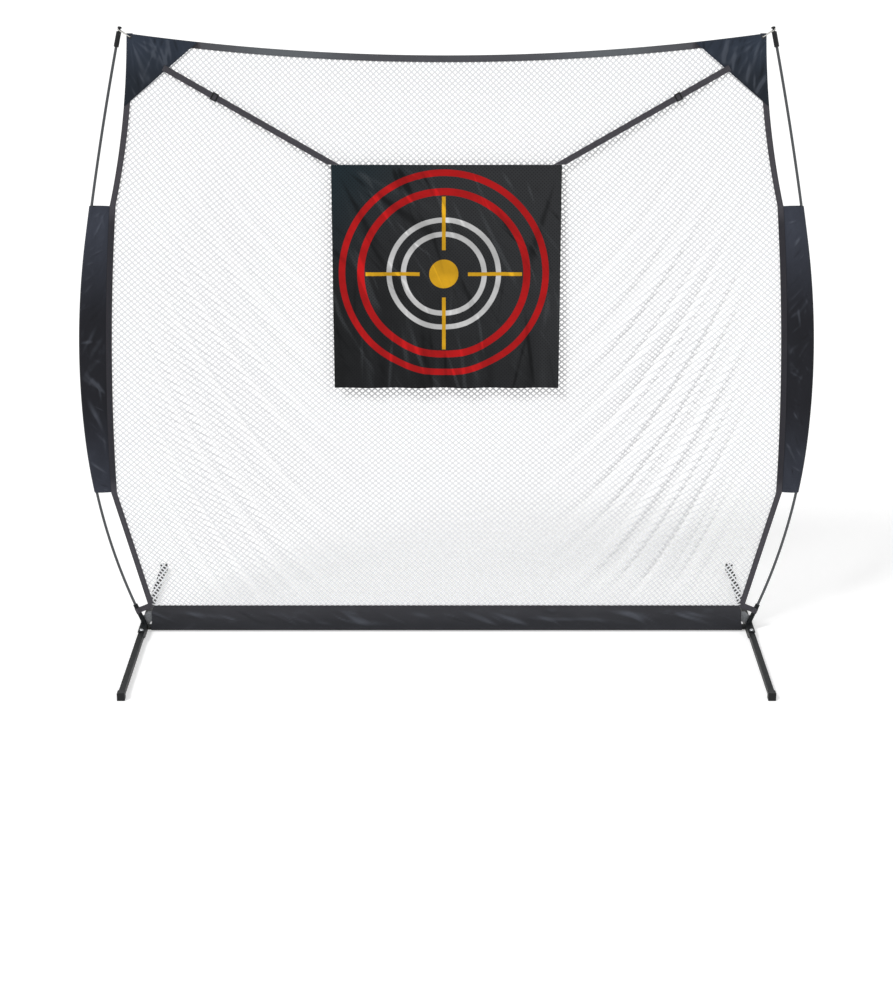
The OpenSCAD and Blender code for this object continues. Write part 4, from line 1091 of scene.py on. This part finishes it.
# The drags' crest, kept for the cloth's painted highlight and painted shade
band_crest = np.clip(on_wall * drags / BAND_CREST, -1, 1)
band_y = fold_y + np.sign(fold_y) * lift
band_grid = np.stack([band_x, band_y, np.broadcast_to(fold_z, band_x.shape)], axis=2)
band_mesh = cloth("bottom_band", band_grid, CLOTH_T, front=(0, 0, -1), crest=band_crest)
band = show(band_mesh, band_cloth, "bottom_sleeve")
for k, drop in enumerate(BAND_SEAM_DROPS):
    height = SLEEVE_TOP - drop
    seam_depth = np.interp(height, wall_z[::-1], wall_y[::-1])
    seam_line = np.array([[end * (BAND_HIGH_END - SEAM_IN), height] for end in (-1, 1)])
    sewn(f"band_seam_{k}", seam_line, seam_depth + CLOTH_T / 2)


# Corner patches: three-cornered reinforcements of the same cloth on the top corners, sewn
# along the top and side edges and turned in along the slant. Folds run out of the eyelet.

PATCH_TOP = (0.8056, 2.0647)
PATCH_FOOT = (1.0559, 1.8547)
STRAP_ROOT = np.array([0.9107, 1.9765])
PATCH_FANS = ((22, 5, 0.5), (38, 6, 0.8), (57, 5, 0.55), (71, 6, 1.0), (86, 4, 0.5))
FAN_HEIGHT = 0.0042
PATCH_CREASES = {"count": 50, "length": 0.045, "width": 0.0045, "height": 0.0022, "spread": 14}
PATCH_CREST = 0.0020
SLANT_INWARD = np.array([0.65, 0.76])

patch_cloth = oxford(
    "patch_oxford", (10, 15, 21), (40, 47, 57), far_tone=(56, 65, 80), middle=1.85, near=0.05, far=0.23
)
for side_name, side in SIDES.items():
    random = np.random.default_rng(5 if side > 0 else 17)
    along_top = top_edge[top_edge[:, 0] > PATCH_TOP[0]]
    down_side = side_edge[(side_edge[:, 1] > PATCH_FOOT[1]) & (side_edge[:, 1] < NET_CORNER[1] - 0.001)]
    rim_line = np.concatenate([[PATCH_TOP], along_top, down_side, [PATCH_FOOT]])
    rim_s = lengths_along(rim_line)
    s = np.linspace(0.012, 0.988, 90)
    rim = np.stack([np.interp(s * rim_s[-1], rim_s, rim_line[:, k]) for k in (0, 1)], axis=1)
    slant = np.array(PATCH_TOP) + s[:, None] * (np.array(PATCH_FOOT) - np.array(PATCH_TOP))
    w = np.linspace(0, 1, 46)[None, :, None]
    flat_patch = slant[:, None] * (1 - w) + rim[:, None] * w
    x, z = flat_patch[..., 0], flat_patch[..., 1]
    # Folds fan from the eyelet: bells of the angle about it in degrees, fading with distance
    about = np.degrees(np.arctan2(EYELET[1] - z, EYELET[0] - x))
    away = np.hypot(EYELET[1] - z, EYELET[0] - x)
    fan = sum(tall * np.exp(-(((about - at) / wide) ** 2)) for at, wide, tall in PATCH_FANS)
    fan = fan * np.clip(away / 0.05, 0, 1) * np.exp(-away / 0.16)
    clear = 1 - np.exp(-(((x - STRAP_ROOT[0]) ** 2 + (z - STRAP_ROOT[1]) ** 2) / 0.045**2))
    edge = np.clip(np.minimum(w[..., 0] / 0.12, (1 - w[..., 0]) / 0.12), 0, 1)
    edge = edge * np.clip(np.minimum(s, 1 - s)[:, None] / 0.06, 0, 1)
    small = creases(x, z, random, 74, **PATCH_CREASES)
    lift = np.maximum(edge * clear * (FAN_HEIGHT * fan + small), 0)
    # The folds' crest, kept for the cloth's painted highlight and painted shade
    patch_crest = np.clip(edge * (1.4 * fan + small / PATCH_CREST) - 0.15, -1, 1)
    patch_grid = np.stack([side * x, -PATCH_Y - lift, z], axis=2)
    patch_mesh = cloth(f"patch_{side_name}", patch_grid, CLOTH_T, flat_patch, crest=patch_crest)
    patch = show(patch_mesh, patch_cloth, f"corner_patch_{side_name}")
    slant_line = (slant[2:-2] + 0.006 * SLANT_INWARD) * [side, 1]
    rim_seam = rim[4:-4] * 0.965 + np.array(PATCH_TOP) * 0.0175 + np.array(PATCH_FOOT) * 0.0175
    patch_seams = [sewn(f"patch_seam_{side_name}_{k}", line, PATCH_Y + CLOTH_T / 2)
                   for k, line in enumerate((slant_line, rim_seam * [side, 1]))]


# Target straps: a strip of webbing from each corner patch down to the target's top corner,
# boxed on at both ends. It runs through a plastic slider that sets its length.

TARGET_TOP = 1.664
TARGET_HALF = 0.381
HINGE_Z = 1.6653
STRAP_TIP = np.array([0.3730, 1.6653])
STRAP_TAIL = 0.012
BOX_BACK = -0.010
BOX_ON = 0.006
BOX_HALF = 0.0075

strap_way = unit(STRAP_TIP - STRAP_ROOT)
strap_up = np.array([strap_way[1], -strap_way[0]])
for side_name, side in SIDES.items():
    lines = []
    for half in (STRAP_W / 2, -STRAP_W / 2):
        first = STRAP_ROOT - STRAP_TAIL * strap_way + half * strap_up
        last = first + strap_way * (HINGE_Z - first[1]) / strap_way[1]
        lines.append(first + np.linspace(0, 1, 120)[:, None] * (last - first))
    strap_grid = strip(lines[0] * [side, 1], lines[1] * [side, 1], STRAP_Y)
    strap_mesh = cloth(f"strap_{side_name}", strap_grid, STRAP_T)
    strap = show(strap_mesh, black_webbing, f"target_strap_{side_name}")
    # The box is sewn round its four corners and across from the first to the third
    corners = [(BOX_BACK, BOX_HALF), (BOX_ON, BOX_HALF), (BOX_ON, -BOX_HALF), (BOX_BACK, -BOX_HALF)]
    route = [corners[k] for k in (0, 1, 2, 3, 0, 2)]
    box = STRAP_ROOT + np.array([along * strap_way + across * strap_up for along, across in route])
    strap_box = sewn(f"strap_box_{side_name}", box * [side, 1], STRAP_Y + STRAP_T / 2, pitch=0.004)


# Target: a square of thin black knitted polyester, hemmed, that hangs from its top hem. Rings,
# a spot and four bars are screen-printed on its front in red, white and yellow.

TARGET_SIDE = 0.762
TARGET_Y = 0.0065
TARGET_T = 0.0018
PANEL_SLOPE = 0.009
FOLD_DEPTH = 0.006
PRINT_CENTRE = (-0.009, 1.298)
RING_SOFT = 0.0007
RINGS = (
    ("red", 0.352, 0.022),
    ("red", 0.290, 0.024),
    ("white", 0.192, 0.0175),
    ("white", 0.144, 0.0175),
)
SPOT_R = 0.049
BAR_FROM = 0.081
BAR_TO = 0.262
BAR_W = 0.0125
INKS = {"red": (184, 24, 26), "white": (208, 208, 208), "yellow": (222, 168, 34)}
SHORT_DRAGS = {"count": 90, "length": 0.06, "width": 0.0040, "height": 0.0022, "spread": 14}
BROAD_DRAGS = {"count": 24, "length": 0.13, "width": 0.0075, "height": 0.0034, "spread": 9}
STEEP_DRAGS = {"count": 50, "length": 0.10, "width": 0.0060, "height": 0.0030, "spread": 8}
TARGET_CREST = 0.0018


def hang_y(u, v):
    """Depth of the hung cloth at u from -1 to 1 across and v from 0 to 1 down: a slope out from
    the hem, upright folds that deepen downwards, and a pull in from each top corner."""
    hang = FOLD_DEPTH * v * np.sin(np.radians(360 * (2.3 * u + 0.35 * v)))
    hang = hang * (0.75 + 0.25 * np.cos(np.radians(170 * u)))
    from_sides = [(1 - s * u) / 2 for s in (-1, 1)]
    pull = sum(FOLD_DEPTH * 0.6 * np.exp(-(((away - 0.9 * v) / 0.06) ** 2)) * v * np.exp(-4 * v)
               for away in from_sides)
    return -PANEL_SLOPE * np.sqrt(v) + hang - 2 * pull


def printed_target():
    """Open knit in black, with each ring drawn where the distance from the print's centre is
    within half its width of its middle, and each bar as a box of soft edges."""
    material, start = new_finish(
        "target_print", Specular_IOR_Level=0.08, Sheen_Weight=0.02, Sheen_Tint=(0.75, 0.9, 1.0)
    )
    lay, front = start.laid_flat(), start.mark("face_side")
    shine, painted_hollow_shade = folded(start)
    # Knit: small holes in a slanting grid, and fine courses
    x, z = lay.axis("X"), lay.axis("Y")
    holes = (x + z).wave(0.0120) * (x - z).wave(0.0120)
    courses = z.wave(0.0013) * 0.5 + x.wave(0.0013) * 0.5
    crinkle = lay.stretch(9, 14, 1).noise(1.0, 7.0)
    cloudy = lay.noise(3.2, 3.0)
    # Painted light: the cloth is paler towards its upper right
    lit_side = (x + z).rise(-0.55, 0.45)
    shade = cloudy * 0.4 + crinkle * 0.2 + lit_side * 0.5
    cool = (x * -1 + z).rise(0.25, 0.75)
    color = shade.between((8, 9, 10), (54, 55, 57))
    color = (cool * 0.6).between(color, (20, 41, 49))
    # Painted shade in the hollows of the folds, and a painted highlight on their crests
    color = (painted_hollow_shade * 0.75).between(color, (9, 10, 11))
    color = (shine * 0.14).between(color, (110, 114, 118))
    color = (holes.rise(0.35, 0.9) * 0.6).between(color, (12, 13, 15))
    # Print: the ink creeps a little along the knit at its edges
    creep = (lay.noise(420, 2.0) - 0.5) * 0.0016
    away = lay.node("VectorMath", {0: lay}, out="Value", operation="LENGTH") + creep
    worn = lay.noise(60, 6.0).rise(0.70, 0.82) * 0.35
    inked = None
    # The ink's own uneven tone, with a painted highlight on the crests of the folds and painted shade in
    # their hollows
    ink_tone_and_painted_light = (crinkle * 0.5 + cloudy * 0.3 + shine * 0.3 - painted_hollow_shade * 0.2).rise(0.15, 0.8)
    shapes = [(ink, width / 2 - abs(away - (outer - width / 2))) for ink, outer, width in RINGS]
    shapes.append(("yellow", SPOT_R - away))
    for main, cross in ((x, z), (z, x)):
        half_bar = (BAR_TO - BAR_FROM) / 2
        run = half_bar - abs(abs(main) - (BAR_FROM + half_bar))
        shapes.append(("yellow", run.math("MINIMUM", BAR_W / 2 - abs(cross + creep))))
    for ink, inside in shapes:
        mask = inside.rise(-RING_SOFT, RING_SOFT) * (1 - worn) * front
        dull, full = ([channel * strength for channel in INKS[ink]] for strength in (0.8, 1.1))
        color = mask.between(color, ink_tone_and_painted_light.between(dull, full))
        inked = inked.math("MAXIMUM", mask) if inked else mask
    knit = holes * 0.6 + courses * 0.4
    return finish(
        material,
        Base_Color=color,
        Roughness=0.55 + cloudy * 0.12 - inked * 0.1,
        Normal=(crinkle + inked * 0.03).bump(0.004, 0.4, knit.bump(0.0004, 0.5)),
    )


random = np.random.default_rng(83)
v, u = np.meshgrid(np.linspace(0, 1, 240), np.linspace(-1, 1, 250), indexing="ij")
x, z = u * TARGET_HALF, TARGET_TOP + 0.001 - v * (TARGET_SIDE + 0.001)
small = creases(x, z, random, -58, **SHORT_DRAGS) * np.clip(1.3 - v, 0, 1)
small += creases(x, z, random, -60, **BROAD_DRAGS) * np.clip(1.2 - v, 0, 1)
small += creases(x, z, random, -84, **STEEP_DRAGS) * np.clip(2 * v - 0.7, 0, 1)
# Long drags fan out of the two top corners
for corner_x, count in ((-TARGET_HALF, 5), (TARGET_HALF, 3)):
    angle = np.degrees(np.arctan2(TARGET_TOP + 0.02 - z, np.abs(x - corner_x) + 0.001))
    gone = np.hypot(x - corner_x, z - TARGET_TOP)
    for at in np.linspace(24, 72, count) + random.uniform(-3, 3, count):
        small += random.uniform(-0.0016, 0.0016) * np.exp(-(((angle - at) / 3.2) ** 2)) * (
            np.clip(gone / 0.1, 0, 1) * np.exp(-(((gone - 0.22) / 0.22) ** 2)))
small = small * np.clip(v / 0.05, 0, 1) * (0.45 + 0.55 * np.clip((1 - np.abs(u)) / 0.04, 0, 1))
upright = np.sin(2 * np.pi * (3.1 * u + 0.5 * v)) + 0.7 * np.sin(2 * np.pi * (5.3 * u - 0.4 * v) + 1.0)
# The folds' crest, kept for the cloth's painted highlight and painted shade
target_crest = np.clip(small / TARGET_CREST + 0.30 * upright * np.clip((v - 0.45) / 0.5, 0, 1), -1, 1)
target_grid = np.stack([x, hang_y(u, v) - TARGET_Y - small, z], axis=2)
print_flat = np.stack([x - PRINT_CENTRE[0], z - PRINT_CENTRE[1]], axis=2)
target_mesh = cloth("target_cloth", target_grid, TARGET_T, print_flat, crest=target_crest)
target = show(target_mesh, printed_target(), "target_panel", "target")
